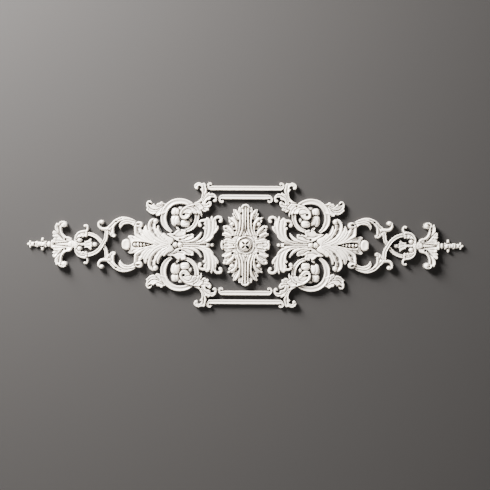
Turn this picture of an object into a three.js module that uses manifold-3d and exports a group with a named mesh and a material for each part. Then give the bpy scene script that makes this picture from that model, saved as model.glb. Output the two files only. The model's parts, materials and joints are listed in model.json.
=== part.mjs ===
// A symmetrical cast plaster relief ornament for a wall: an upright acanthus rosette in the middle, two
// short channelled rails above it and two below, and a long scrollwork arm on each side that ends in a
// finial of beads. Every piece is a flat-backed casting. X runs along the ornament, Z is up, the front
// faces -Y, and the flat backs all lie in the plane y = 0. The origin is the middle of the rosette's back.

import * as THREE from 'three';
import { mergeVertices } from 'three/addons/utils/BufferGeometryUtils.js';
import Module from 'manifold-3d';

const wasm = await Module();
wasm.setup();

// Sizes in millimetres.
const ORNAMENT_LENGTH = 1500;      // tip bead to tip bead
const RAIL_WIDTH = 15.5;           // width of the channelled rails
const OUTER_RAIL_LENGTH = 263.4;
const INNER_RAIL_LENGTH = 183.5;
const OUTER_RAIL_RISE = 195.5;     // from the long axis to the middle of the outer rail
const RAIL_PITCH = 30.5;           // from the outer rail's middle to the inner rail's
const OUTER_RAIL_GAP = 2.4;        // from the end of an outer rail to the leaf spray beside it
const INNER_RAIL_GAP = 6;          // from the end of an inner rail to the volute beside it

// How far the carving stands off the wall, in millimetres.
const RAIL_DEPTH = 11;
const STRAND_DEPTH = 14;
const CROSSING_DEPTH = 18;         // the strand that passes over
const RING_DEPTH = 14;
const LEAF_DEPTH = 17;
const PALMETTE_DEPTH = 24;
const VOLUTE_DEPTH = 21;
const PETAL_DEPTH = 15;
const BEAD_DEPTH = 11;
const TIP_DEPTH = 12;              // where a leaf or lobe runs out to its tip
const STRING_DEPTH = 10;           // the thin string of flowers at the end of an arm
const ROSETTE_DEPTH = 22;
const BUTTON_DEPTH = 28;
const EYE_DEPTH = 7;               // how deep the drilled slot in the palmette goes
const SMALLEST_FACET = 2.4;        // ridges lower than this are left to the finished surface
const STOCK = 3;                   // extra thickness behind the wall plane, cut off flat at the end

// The carving is drawn on a grid of modules, 437.4 to the ornament's length, so it keeps its proportions as
// shares of the length. An arm's tip is at 0 and the rosette is in the middle.
const MODULE = ORNAMENT_LENGTH / 437.4;
const MIDDLE = ORNAMENT_LENGTH / 2 / MODULE;

// The two branches of the corner spray, in modules: each one ends level with a rail and a gap away from it.
const SPRAY_RISE = OUTER_RAIL_RISE / MODULE;
const SPRAY_EDGE = MIDDLE - (OUTER_RAIL_LENGTH / 2 + OUTER_RAIL_GAP) / MODULE;
const VOLUTE_RISE = (OUTER_RAIL_RISE - RAIL_PITCH) / MODULE;
const VOLUTE_EDGE = MIDDLE - (INNER_RAIL_LENGTH / 2 + INNER_RAIL_GAP) / MODULE;

// Cross-sections, from one edge to the other: [across, height], as shares of half the width and the depth.
const CHANNELLED = [[-1, 0], [-0.76, 1], [0, 0.72], [0.76, 1], [1, 0]];
const GROOVED = [[-1, 0], [-0.62, 1], [0, 0.78], [0.62, 1], [1, 0]];
const FLUTED = [[-1, 0], [-0.72, 0.9], [-0.32, 0.7], [0, 1], [0.32, 0.7], [0.72, 0.9], [1, 0]];
const PLAIN = [[-1, 0], [-0.66, 1], [0.66, 1], [1, 0]];

// A value read from a list of [place, value] pairs, straight between them.
function along(table, t) {
  if (!Array.isArray(table)) return table;
  let k = 1;
  while (k < table.length - 1 && table[k][0] < t) k += 1;
  const [t0, v0] = table[k - 1];
  const [t1, v1] = table[k];
  const share = THREE.MathUtils.clamp((t - t0) / Math.max(t1 - t0, 1e-9), 0, 1);
  return v0 + (v1 - v0) * share;
}

// The stations of a sweep: each place where a width table turns, and even steps where these leave room.
function stations(steps, tables) {
  const places = [];
  const add = (t, room) => {
    if (places.every((place) => Math.abs(place - t) > room)) places.push(t);
  };
  for (const table of tables.filter(Array.isArray)) table.forEach(([t]) => add(t, 0.02));
  for (let k = 0; k <= steps; k += 1) add(k / steps, 0.6 / steps);
  return places.sort((p, q) => p - q);
}

// A closed mesh becomes a solid that can be joined and cut.
function solid(points, faces) {
  const mesh = new wasm.Mesh({
    numProp: 3,
    vertProperties: new Float32Array(points.flat()),
    triVerts: new Uint32Array(faces.flat()),
  });
  return new wasm.Manifold(mesh);
}

// A carved band with a flat back: a cross-section carried along a curve through a few points, in modules.
// left and right are half widths in modules, and depth is in millimetres.
function band({ path, left, right = left, depth, section = PLAIN, steps = 6, back = -STOCK }) {
  const curve = new THREE.CatmullRomCurve3(path.map(([x, z]) => new THREE.Vector3(x, 0, z)), false,
    'centripetal');
  const points = [];
  const places = stations(steps, [left, right]);
  for (const t of places) {
    const centre = curve.getPointAt(t);
    const ahead = curve.getTangentAt(t);
    for (const [across, height] of section) {
      const half = (across < 0 ? along(left, t) : along(right, t)) * Math.abs(across);
      const side = Math.sign(across);
      points.push([
        (centre.x + side * half * ahead.z) * MODULE,
        -back - height * (along(depth, t) - back),
        (centre.z - side * half * ahead.x) * MODULE,
      ]);
    }
  }
  const count = section.length;
  const faces = [];
  for (let k = 0; k + 1 < places.length; k += 1) {
    for (let i = 0; i < count; i += 1) {
      const a = k * count + i;
      const b = k * count + (i + 1) % count;
      faces.push([a, b + count, a + count], [a, b, b + count]);
    }
  }
  const last = (places.length - 1) * count;
  for (let i = 1; i + 1 < count; i += 1) {
    faces.push([0, i + 1, i], [last, last + i, last + i + 1]);
  }
  return solid(points, faces);
}

// A half bead with a flat back, at a place in modules: a round, oval or squarish boss.
function boss({ at, size, depth, sides = 6, back = -STOCK }) {
  const [wide, high] = Array.isArray(size) ? size : [size, size];
  const rings = [[1, 0], [0.86, 0.68]];
  const points = [];
  for (const [reach, height] of rings) {
    for (let k = 0; k < sides; k += 1) {
      const angle = (k + 0.5) / sides * 2 * Math.PI;
      points.push([
        (at[0] + wide * reach * Math.cos(angle)) * MODULE,
        -back - height * (depth - back),
        (at[1] + high * reach * Math.sin(angle)) * MODULE,
      ]);
    }
  }
  points.push([at[0] * MODULE, -depth, at[1] * MODULE]);
  const top = points.length - 1;
  const faces = [];
  for (let k = 0; k < sides; k += 1) {
    const next = (k + 1) % sides;
    faces.push([k, next, next + sides], [k, next + sides, k + sides], [k + sides, next + sides, top]);
    if (k > 0 && k + 1 < sides) faces.push([0, k + 1, k]);
  }
  return solid(points, faces);
}

const join = (solids) => solids.reduce((whole, piece) => whole.add(piece));

// The same solid on the other side of the long axis.
const below = (piece) => piece.mirror([0, 0, 1]);

// The string of beads and small flowers that ends the scrollwork, and the bell flower on the same axis.
function axisString() {
  return [
    band({
      path: [[-0.4, 0], [24.8, 0]], steps: 1,
      depth: [[0, STRING_DEPTH * 0.6], [0.3, STRING_DEPTH], [0.62, STRING_DEPTH], [0.8, STRING_DEPTH * 0.7],
        [1, TIP_DEPTH]],
      left: [[0, 0.9], [0.06, 1.4], [0.11, 0.8], [0.15, 1.7], [0.28, 1.8], [0.34, 2.7], [0.42, 2.7],
        [0.47, 1.8], [0.55, 2.3], [0.72, 2.4], [0.79, 2.9], [0.81, 1.6], [0.85, 2.8], [0.92, 3.1], [1, 2.2]],
    }),
    band({ path: [[3, -3.9], [3, 3.9]], steps: 2, depth: STRING_DEPTH * 0.9,
      left: [[0, 0.6], [0.5, 1.3], [1, 0.6]] }),
    band({ path: [[15.6, -6.8], [15.6, 6.8]], steps: 2, depth: STRING_DEPTH,
      left: [[0, 1.1], [0.3, 2.1], [0.7, 2.1], [1, 1.1]] }),
    band({ path: [[24.4, 0], [44, 0]], steps: 2, depth: STRAND_DEPTH, section: FLUTED,
      left: [[0, 2.6], [0.2, 3.6], [1, 3]] }),
    band({ path: [[42.5, 0], [49, 0]], steps: 2, depth: STRAND_DEPTH * 1.1,
      left: [[0, 3.6], [0.35, 4.6], [0.6, 4.4], [1, 2.8]] }),
    band({ path: [[47, 0], [66, 0]], steps: 2, depth: TIP_DEPTH,
      left: [[0, 1.6], [0.45, 1.4], [0.52, 2.8], [0.7, 2.2], [0.8, 3], [0.9, 5.3], [0.93, 2.3], [1, 2]] }),
    boss({ at: [67.8, 0], size: [2.5, 2.3], depth: BEAD_DEPTH }),
  ];
}

// The leaf that closes the scrollwork towards the finial: three lobes and a curled tip.
function endLeaf() {
  return [
    band({
      path: [[44, 1.5], [38, 4.2], [33.2, 9], [31.6, 14.5], [32.8, 19], [36, 21.4], [38.8, 20.6]],
      steps: 8, depth: [[0, TIP_DEPTH], [0.3, LEAF_DEPTH], [0.8, LEAF_DEPTH], [1, VOLUTE_DEPTH]],
      section: GROOVED,
      left: [[0, 1.5], [0.2, 6], [0.29, 9.6], [0.34, 5], [0.4, 8.2], [0.53, 5.4], [0.57, 2.4],
        [0.62, 4], [0.77, 3.4], [0.81, 1.7], [0.9, 1.9], [1, 1.5]],
      right: [[0, 3.4], [0.16, 4], [0.35, 3.8], [0.6, 3.4], [0.8, 1.9], [1, 1.6]],
    }),
    boss({ at: [37.3, 20], size: 3.1, depth: VOLUTE_DEPTH, sides: 8 }),
  ];
}

// The crescent leaf and its small volutes, from which one strand runs inwards.
function crescentLeaf() {
  return [
    band({
      path: [[49.6, 2.4], [49.9, 6], [51.6, 9.2], [55.3, 10.8], [60, 10.4]],
      steps: 5, depth: [[0, TIP_DEPTH], [0.5, LEAF_DEPTH], [1, STRAND_DEPTH]],
      left: [[0, 1.2], [0.3, 1.5], [0.6, 2.6], [0.8, 3], [1, 1.6]],
      right: [[0, 1], [0.3, 1.4], [0.52, 2.3], [0.62, 3.2], [0.72, 2.8], [0.97, 3.2], [1, 1.6]],
    }),
    band({
      path: [[59, 11.6], [61.2, 14.8], [61, 18], [59.2, 19.7], [57.6, 19]],
      steps: 5, depth: STRAND_DEPTH, left: [[0, 1.8], [0.3, 1.3], [1, 1]],
    }),
    boss({ at: [58, 18.2], size: 1.3, depth: STRAND_DEPTH }),
    boss({ at: [52.6, 3.8], size: 2.4, depth: LEAF_DEPTH }),
  ];
}

// The big C-shaped leaf over the crossing, with a volute to the left, a small lobe and a claw.
function bigLeaf() {
  return [
    band({
      path: [[101, 25.2], [94, 24.9], [88, 21.4], [82.8, 16.4], [79.4, 12.8]],
      steps: 5, depth: LEAF_DEPTH,
      left: [[0, 2], [0.25, 2.4], [0.5, 3.4], [0.75, 4.2], [1, 1.6]],
      right: [[0, 2], [0.25, 2.4], [0.5, 3.3], [0.75, 3.8], [1, 2]],
    }),
    band({
      path: [[109, 20.8], [104.4, 23.2], [99, 23.6], [95.2, 21.4], [93.4, 18.2], [93.4, 15.6]],
      steps: 7, depth: [[0, STRAND_DEPTH], [0.5, LEAF_DEPTH], [1, TIP_DEPTH]],
      left: [[0, 2.8], [0.45, 2.8], [0.7, 1.9], [0.88, 1.6], [1, 0.4]],
      right: [[0, 2.8], [0.45, 3.2], [0.7, 1.9], [0.88, 1.4], [1, 0.4]],
    }),
    band({ path: [[86, 17], [85.6, 12], [86.6, 8.6]], steps: 3, depth: [[0, LEAF_DEPTH], [1, TIP_DEPTH]],
      left: [[0, 3], [0.5, 2.4], [1, 1.3]] }),
    boss({ at: [87.2, 8.8], size: 1.8, depth: STRAND_DEPTH }),
    band({
      path: [[82, 15.6], [76.4, 15.1], [72.9, 16.8], [71.5, 20.2], [72.6, 23], [75, 23.6]],
      steps: 7, depth: [[0, LEAF_DEPTH], [1, VOLUTE_DEPTH * 0.9]],
      left: [[0, 2.4], [0.3, 2.1], [0.7, 1.5], [1, 1.3]],
    }),
    boss({ at: [74.9, 22.5], size: 2.4, depth: VOLUTE_DEPTH * 0.9 }),
  ];
}

// Half of the palmette that the scroll opens into: two curled lobes with a plain tooth behind each.
function palmetteHalf() {
  return [
    band({
      path: [[130, 2.4], [119, 6.6], [112.6, 12.6], [110.4, 17.6], [112, 21.2], [114.6, 20.6]],
      steps: 7, depth: [[0, PALMETTE_DEPTH], [0.5, VOLUTE_DEPTH * 0.9], [1, VOLUTE_DEPTH]],
      section: GROOVED,
      left: [[0, 2], [0.3, 4.4], [0.5, 3.8], [0.75, 3.4], [0.86, 2], [1, 1.6]],
      right: [[0, 2], [0.3, 4], [0.5, 4.4], [0.7, 4], [0.86, 1.8], [1, 1.6]],
    }),
    boss({ at: [112.3, 20.4], size: [4, 3.3], depth: VOLUTE_DEPTH }),
    band({ path: [[126, 4], [120.4, 12], [118.7, 19.4]], steps: 2,
      depth: [[0, PALMETTE_DEPTH], [1, TIP_DEPTH]], left: [[0, 3], [0.6, 3.6], [1, 0.5]] }),
    band({
      path: [[136, 3.6], [128.4, 9.8], [124.6, 16.6], [124.9, 22], [127.4, 25], [130, 23.8]],
      steps: 7, depth: [[0, PALMETTE_DEPTH], [0.5, VOLUTE_DEPTH * 0.9], [1, VOLUTE_DEPTH]],
      section: GROOVED,
      left: [[0, 3], [0.3, 4.4], [0.6, 3.6], [0.8, 2.4], [1, 1.6]],
      right: [[0, 3], [0.3, 4.6], [0.5, 4.8], [0.7, 4.2], [0.84, 1.8], [1, 1.4]],
    }),
    boss({ at: [128.7, 23.4], size: 2.7, depth: VOLUTE_DEPTH }),
    band({ path: [[140, 4], [134.8, 12], [131.7, 19.6]], steps: 2,
      depth: [[0, PALMETTE_DEPTH], [1, TIP_DEPTH]], left: [[0, 5], [0.55, 4.4], [1, 0.5]] }),
  ];
}

// The palmette's middle: a broad smooth body that ends in a rounded thumb, and its drilled slot with beads.
function palmetteMiddle() {
  const body = band({
    path: [[147.2, 0], [94.8, 0]], steps: 1,
    depth: [[0, TIP_DEPTH], [0.17, PALMETTE_DEPTH * 0.9], [0.35, PALMETTE_DEPTH],
      [0.92, PALMETTE_DEPTH * 0.9], [1, LEAF_DEPTH]],
    left: [[0, 4.2], [0.05, 5.8], [0.17, 10.6], [0.3, 9.8], [0.48, 8], [0.77, 8.8], [0.84, 9.3], [0.87, 7.4],
      [0.89, 5.1], [0.94, 5], [0.98, 4.1], [1, 2.6]],
  });
  const floor = PALMETTE_DEPTH - EYE_DEPTH;
  const slot = band({
    path: [[106.4, 0], [125.4, 0]], steps: 1, section: [[-0.7, 0], [-1, 1], [1, 1], [0.7, 0]], back: floor,
    depth: PALMETTE_DEPTH * 2, left: [[0, 1.3], [0.12, 2.1], [0.55, 1.7], [1, 0.4]],
  });
  const beads = [[107.9, 1.4], [111.4, 1.3], [114.6, 1], [117.6, 0.9]].map(([at, size]) => (
    boss({ at: [at, 0], size, depth: floor + EYE_DEPTH * 0.6, sides: 5, back: floor * 0.9 })
  ));
  return { body, slot, beads };
}

// The channelled ring, one band that winds nearly a full turn.
function ring() {
  return [
    band({
      path: [[144.6, 13], [140.2, 16.6], [137, 22.7], [136.8, 29.8], [139.6, 37], [145.6, 42.2],
        [153.5, 43.8], [161.8, 41.8], [167.4, 36.9], [170.2, 29.9], [169, 22.4], [165, 17], [159, 14.2],
        [153, 14.8], [149.4, 17.6]],
      steps: 18, depth: RING_DEPTH, section: CHANNELLED,
      left: [[0, 1.2], [0.05, 2.2], [0.12, 3], [0.4, 2.9], [0.6, 2.4], [0.8, 2.1], [0.92, 1.4], [1, 0.7]],
    }),
  ];
}

// The rose's petals inside the ring.
function petals() {
  return [
    boss({ at: [148.5, 33], size: [4.1, 4.6], depth: PETAL_DEPTH * 0.87 }),
    boss({ at: [148.8, 24.2], size: [5.2, 6.4], depth: PETAL_DEPTH }),
    boss({ at: [157.8, 21.6], size: [5.4, 4.4], depth: PETAL_DEPTH }),
    boss({ at: [163, 25], size: [2.2, 2.9], depth: PETAL_DEPTH * 0.73 }),
    boss({ at: [153.6, 35.8], size: [3.4, 2.4], depth: PETAL_DEPTH * 0.73 }),
  ];
}

// The leaf that folds over the ring into the rose, with a ragged lower edge and a claw.
function foldedLeaf() {
  return [
    band({
      path: [[179, 38.6], [170, 37.4], [163, 36.8], [157.6, 34.8], [154.8, 31], [156, 27.6], [159.4, 26.8],
        [161.4, 28.6]],
      steps: 10, depth: [[0, LEAF_DEPTH], [0.5, VOLUTE_DEPTH], [1, VOLUTE_DEPTH * 1.1]],
      left: [[0, 4], [0.2, 4.6], [0.26, 6.2], [0.31, 4.8], [0.38, 5.8], [0.43, 2.8], [0.56, 1.8], [1, 1.4]],
      right: [[0, 4], [0.3, 4], [0.42, 2.8], [0.56, 1.8], [1, 1.5]],
    }),
    boss({ at: [159.8, 29.2], size: 2.2, depth: VOLUTE_DEPTH * 1.1 }),
    band({ path: [[168, 35.6], [173.4, 34.2], [175.2, 28.4]], steps: 4,
      depth: [[0, LEAF_DEPTH], [1, TIP_DEPTH]], left: [[0, 3], [0.5, 2], [0.8, 1.2], [1, 0.4]] }),
  ];
}

// The spray at the ring's upper corner: three branches, two of them with volutes that end beside the rails.
function cornerSpray() {
  return [
    band({
      path: [[164, 40.4], [172, 43.2], [SPRAY_EDGE - 3.2, SPRAY_RISE - 8],
        [SPRAY_EDGE - 2.1, SPRAY_RISE - 2], [SPRAY_EDGE - 3.4, SPRAY_RISE + 2.2],
        [SPRAY_EDGE - 6.6, SPRAY_RISE + 3.9], [SPRAY_EDGE - 9.8, SPRAY_RISE + 2.6],
        [SPRAY_EDGE - 10.2, SPRAY_RISE]],
      steps: 10, depth: [[0, RING_DEPTH], [0.3, LEAF_DEPTH], [1, STRAND_DEPTH]],
      left: [[0, 2.4], [0.25, 3], [0.45, 2.6], [0.62, 1.9], [0.8, 1.6], [1, 1.6]],
      right: [[0, 2.4], [0.25, 4], [0.45, 3], [0.55, 1.7], [0.62, 1.8], [0.68, 2.6], [0.71, 1.8], [1, 1.6]],
    }),
    boss({ at: [SPRAY_EDGE - 9.7, SPRAY_RISE - 0.1], size: 1.6, depth: STRAND_DEPTH * 1.1 }),
    band({
      path: [[174, 44], [VOLUTE_EDGE - 10.2, VOLUTE_RISE - 0.1], [VOLUTE_EDGE - 4.6, VOLUTE_RISE + 2.3],
        [VOLUTE_EDGE - 1.6, VOLUTE_RISE - 0.3], [VOLUTE_EDGE - 2, VOLUTE_RISE - 3.7]],
      steps: 6, depth: [[0, LEAF_DEPTH], [1, STRAND_DEPTH]],
      left: [[0, 3], [0.24, 4.4], [0.34, 4.9], [0.42, 2.2], [0.55, 1.7], [1, 1.4]],
      right: [[0, 3.4], [0.4, 3.2], [0.55, 2], [1, 1.4]],
    }),
    boss({ at: [VOLUTE_EDGE - 3, VOLUTE_RISE - 3.7], size: 1.7, depth: STRAND_DEPTH * 1.1 }),
    band({
      path: [[170, 39.6], [177.4, 38.8], [184, 42.2]], steps: 3,
      depth: [[0, LEAF_DEPTH], [1, STRAND_DEPTH]],
      left: [[0, 3], [0.5, 2.6], [1, 1.6]],
      right: [[0, 4], [0.42, 5], [0.5, 5.6], [0.56, 3.6], [0.72, 4.6], [0.78, 1.9], [1, 1.6]],
    }),
    boss({ at: [183.4, 41.9], size: 2.2, depth: STRAND_DEPTH * 1.1 }),
  ];
}

// The leaf on the ring's outer side, a horn whose tip hooks upwards.
function outerLeaf() {
  return [
    band({
      path: [[140, 36.4], [131, 35.4], [124.6, 36], [121.4, 39], [122.6, 42.6]],
      steps: 6, depth: [[0, RING_DEPTH * 0.8], [0.3, LEAF_DEPTH], [1, TIP_DEPTH]],
      left: [[0, 3.4], [0.2, 4.4], [0.34, 6.2], [0.4, 4.8], [0.55, 5.2], [0.7, 3.2], [0.85, 1.9], [1, 0.6]],
      right: [[0, 4.4], [0.2, 5.2], [0.4, 4.6], [0.56, 2.6], [0.7, 2.2], [0.85, 1.7], [1, 0.6]],
    }),
  ];
}

// The husk on the axis: a faceted bud, a bead, a double-lined stem, and a cup with a last bead.
function husk() {
  return [
    boss({ at: [148.4, 0], size: [3.6, 3.3], depth: PALMETTE_DEPTH * 0.8 }),
    boss({ at: [153.4, 0], size: [2.8, 2.6], depth: LEAF_DEPTH }),
    band({ path: [[152, 0], [181, 0]], steps: 2, depth: STRAND_DEPTH, section: CHANNELLED,
      left: [[0, 1.4], [0.55, 1.4], [0.8, 2.8], [0.92, 3.5], [1, 2]] }),
    band({ path: [[179.5, 0], [183.6, 0]], steps: 1, depth: TIP_DEPTH, left: 1.9 }),
    boss({ at: [185, 0], size: 2, depth: BEAD_DEPTH }),
  ];
}

// The leaves that spring from the husk: a calyx leaf, a lobe, a claw and a big curling acanthus leaf.
function huskLeaves() {
  return [
    band({
      path: [[165, 3.6], [157, 6.8], [149, 9.6], [141.4, 10.4]], steps: 4, depth: LEAF_DEPTH,
      left: [[0, 1], [0.3, 3.6], [0.65, 4.4], [0.9, 2.2], [1, 1]],
      right: [[0, 1], [0.22, 5.6], [0.3, 7.8], [0.62, 5.2], [0.75, 2.6], [1, 1]],
    }),
    band({ path: [[154, 4], [161, 6.8], [167, 9.4]], steps: 2, depth: [[0, LEAF_DEPTH], [1, TIP_DEPTH]],
      left: [[0, 2], [0.6, 2.6], [1, 1.6]] }),
    band({ path: [[156, 2.6], [166.6, 4.4], [172.6, 8], [174.4, 12.8]], steps: 4,
      depth: [[0, STRAND_DEPTH], [1, TIP_DEPTH]], left: [[0, 1.6], [0.5, 2.5], [0.8, 1.8], [1, 0.6]] }),
    band({
      path: [[158, 1.8], [171, 2.8], [179.4, 6.6], [183.6, 13], [184.6, 20], [186.6, 25], [190.4, 27.6],
        [194.4, 26.6], [195, 23.4]],
      steps: 12, depth: [[0, TIP_DEPTH], [0.4, LEAF_DEPTH * 1.1], [0.8, VOLUTE_DEPTH], [1, LEAF_DEPTH]],
      section: GROOVED,
      left: [[0, 1.2], [0.25, 1.8], [0.38, 3.2], [0.47, 6.2], [0.55, 6.6], [0.57, 8.3], [0.6, 6.6],
        [0.65, 8], [0.7, 4.4], [0.78, 1.8], [1, 1.4]],
      right: [[0, 1], [0.25, 1.6], [0.38, 3], [0.46, 3.2], [0.52, 5.8], [0.6, 7.8], [0.64, 7.4], [0.67, 4.6],
        [0.74, 2], [1, 1.5]],
    }),
    boss({ at: [193.6, 23.8], size: 2.1, depth: LEAF_DEPTH }),
    band({ path: [[181, 23], [176.4, 24.8], [173, 23.4], [172.4, 20.4]], steps: 4, depth: TIP_DEPTH,
      left: [[0, 2], [0.5, 1.3], [1, 1.2]] }),
    boss({ at: [173.5, 19.7], size: 2, depth: TIP_DEPTH * 1.1 }),
    band({ path: [[183, 20], [181, 27]], steps: 1, depth: STRAND_DEPTH, left: [[0, 3], [1, 1.8]] }),
  ];
}

// One scrollwork arm: the string of beads, two mirrored halves, and the two strands that cross.
function scrollwork() {
  const half = join([
    ...endLeaf(), ...crescentLeaf(), ...bigLeaf(), ...palmetteHalf(), ...ring(), ...petals(),
    ...foldedLeaf(), ...cornerSpray(), ...outerLeaf(), ...huskLeaves(),
  ]);
  const strand = (depth, side) => band({
    path: [[58, 11 * side], [64, 10 * side], [69.5, 7.4 * side], [74, 2.8 * side], [76.6, -1.6 * side],
      [78.8, -5.6 * side], [79.8, -14 * side]],
    steps: 8, depth, section: CHANNELLED, left: 1.8,
  });
  const { body, slot, beads } = palmetteMiddle();
  const whole = join([half, below(half), ...axisString(), strand(STRAND_DEPTH, 1),
    strand(CROSSING_DEPTH, -1), body, ...husk()]);
  return join([whole.subtract(slot), ...beads]);
}

// One quarter of the rosette: radiating lobes, each a band from the button outwards.
function rosetteQuarter() {
  const lobe = (path, left, right = left) => band({
    path, left, right, steps: 3, section: GROOVED,
    depth: [[0, ROSETTE_DEPTH], [0.6, ROSETTE_DEPTH * 0.86], [1, TIP_DEPTH]],
  });
  return [
    lobe([[0.5, 10], [3, 22], [5.2, 32], [6.3, 38]], [[0, 2.6], [0.7, 2.4], [1, 0.9]]),
    lobe([[1, 10], [5, 20], [9, 29.5], [11.2, 35.6]], [[0, 3], [0.6, 3], [0.9, 1.8], [1, 1.4]],
      [[0, 3], [0.6, 3.4], [0.78, 4.6], [0.84, 2.2], [1, 1.4]]),
    lobe([[2, 9], [8, 17], [13.5, 23.5], [17.6, 27.5]], [[0, 3], [0.5, 4], [0.8, 2.6], [1, 0.7]],
      [[0, 3], [0.5, 4], [0.78, 4], [0.82, 2.6], [1, 0.7]]),
    lobe([[4, 7], [12, 12], [20.8, 17.6]], [[0, 3], [0.6, 4.4], [0.9, 3.4], [1, 2]],
      [[0, 3], [0.6, 4.6], [0.9, 3.4], [1, 2]]),
    lobe([[6, 4], [14, 7.6], [23.3, 10.4]], [[0, 3], [0.7, 3], [1, 0.6]]),
  ];
}

function rosette() {
  const quarter = join(rosetteQuarter());
  const upper = join([quarter, quarter.mirror([1, 0, 0]),
    band({ path: [[0, 6], [0, 41.2]], steps: 3, section: FLUTED,
      depth: [[0, ROSETTE_DEPTH], [0.8, ROSETTE_DEPTH], [1, TIP_DEPTH]],
      left: [[0, 4], [0.6, 3.8], [0.9, 4.4], [1, 2.6]] })]);
  const side = band({ path: [[5, 0], [24.7, 0]], steps: 3, section: PLAIN,
    depth: [[0, ROSETTE_DEPTH], [0.85, PETAL_DEPTH], [1, LEAF_DEPTH]],
    left: [[0, 5], [0.6, 7], [0.9, 4.6], [1, 4]] });
  const button = boss({ at: [0, 0], size: 8.4, depth: ROSETTE_DEPTH, sides: 12 });
  const knob = boss({ at: [0, 0], size: 5.6, depth: BUTTON_DEPTH, sides: 12 });
  return join([upper, below(upper), side, side.mirror([1, 0, 0]), button, knob]);
}

// A rail with a small scroll at each end. Its length and its height above the long axis are in millimetres.
// curl is 1 where the scrolls turn up, -1 where they turn down.
function rail(length, rise, curl) {
  const end = length / 2 / MODULE;
  const middle = rise / MODULE;
  const half = RAIL_WIDTH / 2 / MODULE;
  const turn = half * 1.15;
  const straight = end - turn * 2.2;
  const bar = band({ path: [[-straight - 0.2, middle], [straight + 0.2, middle]], steps: 1,
    depth: RAIL_DEPTH, section: CHANNELLED, left: half });
  const scroll = band({
    path: [[straight, middle], [end - turn, middle], [end - turn * 0.3, middle + turn * 0.6 * curl],
      [end - turn * 0.35, middle + turn * 1.5 * curl], [end - turn * 1.15, middle + turn * 1.9 * curl],
      [end - turn * 1.6, middle + turn * 1.3 * curl]],
    steps: 7, depth: RAIL_DEPTH, section: CHANNELLED,
    left: [[0, half], [0.2, half * 0.9], [0.42, half * 0.5], [0.6, half * 0.4], [1, half * 0.38]],
  });
  return join([bar, scroll, scroll.mirror([1, 0, 0])]);
}

const whitePaint = new THREE.MeshStandardMaterial({ color: 0xe8e5e0, roughness: 0.7, metalness: 0 });

// A finished casting as a mesh: facets that hardly differ are merged, and the back is cut off flat.
function casting(name, piece) {
  const flatBacked = piece.asOriginal().simplify(SMALLEST_FACET).trimByPlane([0, -1, 0], 0);
  const { vertProperties, triVerts } = flatBacked.getMesh();
  const geometry = new THREE.BufferGeometry();
  geometry.setAttribute('position', new THREE.BufferAttribute(new Float32Array(vertProperties), 3));
  geometry.setIndex(Array.from(triVerts));
  const mesh = new THREE.Mesh(mergeVertices(geometry), whitePaint);
  mesh.name = name;
  return mesh;
}

const ornament = new THREE.Group();
const arm = scrollwork().translate([-MIDDLE * MODULE, 0, 0]);
const rightArm = casting('scrollwork_right', arm);
rightArm.rotation.y = Math.PI;
const innerRise = OUTER_RAIL_RISE - RAIL_PITCH;
ornament.add(
  casting('rosette', rosette()),
  casting('scrollwork_left', arm),
  rightArm,
  casting('rail_top_outer', rail(OUTER_RAIL_LENGTH, OUTER_RAIL_RISE, 1)),
  casting('rail_top_inner', rail(INNER_RAIL_LENGTH, innerRise, -1)),
  casting('rail_bottom_inner', rail(INNER_RAIL_LENGTH, -innerRise, 1)),
  casting('rail_bottom_outer', rail(OUTER_RAIL_LENGTH, -OUTER_RAIL_RISE, -1)),
);

export default ornament;
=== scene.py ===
"""The finished surface of a plaster relief ornament: a rosette, two scrollwork arms and four rails.

The carving is worked in relief fields. A field is a fine grid of heights over a casting's plan. Blades,
leaves, knobs and pressed sweeps raise it, and seams, grooves and drilled eyes cut it. The field then becomes
one closed casting with a rounded front, upright sides and a flat back.
"""
import json
import logging
import math
from dataclasses import dataclass, field
from enum import Enum
from typing import Any, Iterable, Sequence

import bpy
import numpy as np
from mathutils import Matrix, Vector
from mathutils.bvhtree import BVHTree
from mathutils.geometry import delaunay_2d_cdt

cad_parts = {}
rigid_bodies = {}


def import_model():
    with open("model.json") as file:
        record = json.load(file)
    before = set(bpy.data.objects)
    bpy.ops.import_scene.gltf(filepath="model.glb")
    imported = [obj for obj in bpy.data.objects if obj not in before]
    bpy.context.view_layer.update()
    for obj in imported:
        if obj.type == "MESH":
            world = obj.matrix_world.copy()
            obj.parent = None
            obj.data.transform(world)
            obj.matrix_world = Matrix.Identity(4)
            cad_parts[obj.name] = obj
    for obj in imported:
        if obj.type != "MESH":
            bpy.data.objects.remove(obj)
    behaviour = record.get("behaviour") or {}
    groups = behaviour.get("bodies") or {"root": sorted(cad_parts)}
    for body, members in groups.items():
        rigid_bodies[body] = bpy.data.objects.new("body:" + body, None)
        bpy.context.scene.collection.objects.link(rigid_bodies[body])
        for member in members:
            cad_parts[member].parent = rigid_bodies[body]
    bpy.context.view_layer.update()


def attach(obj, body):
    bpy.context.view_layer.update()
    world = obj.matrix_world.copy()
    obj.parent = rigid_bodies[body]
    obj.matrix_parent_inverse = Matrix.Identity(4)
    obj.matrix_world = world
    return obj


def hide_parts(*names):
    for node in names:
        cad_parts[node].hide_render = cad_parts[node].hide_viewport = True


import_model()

LOG = logging.getLogger("ornament")

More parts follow.
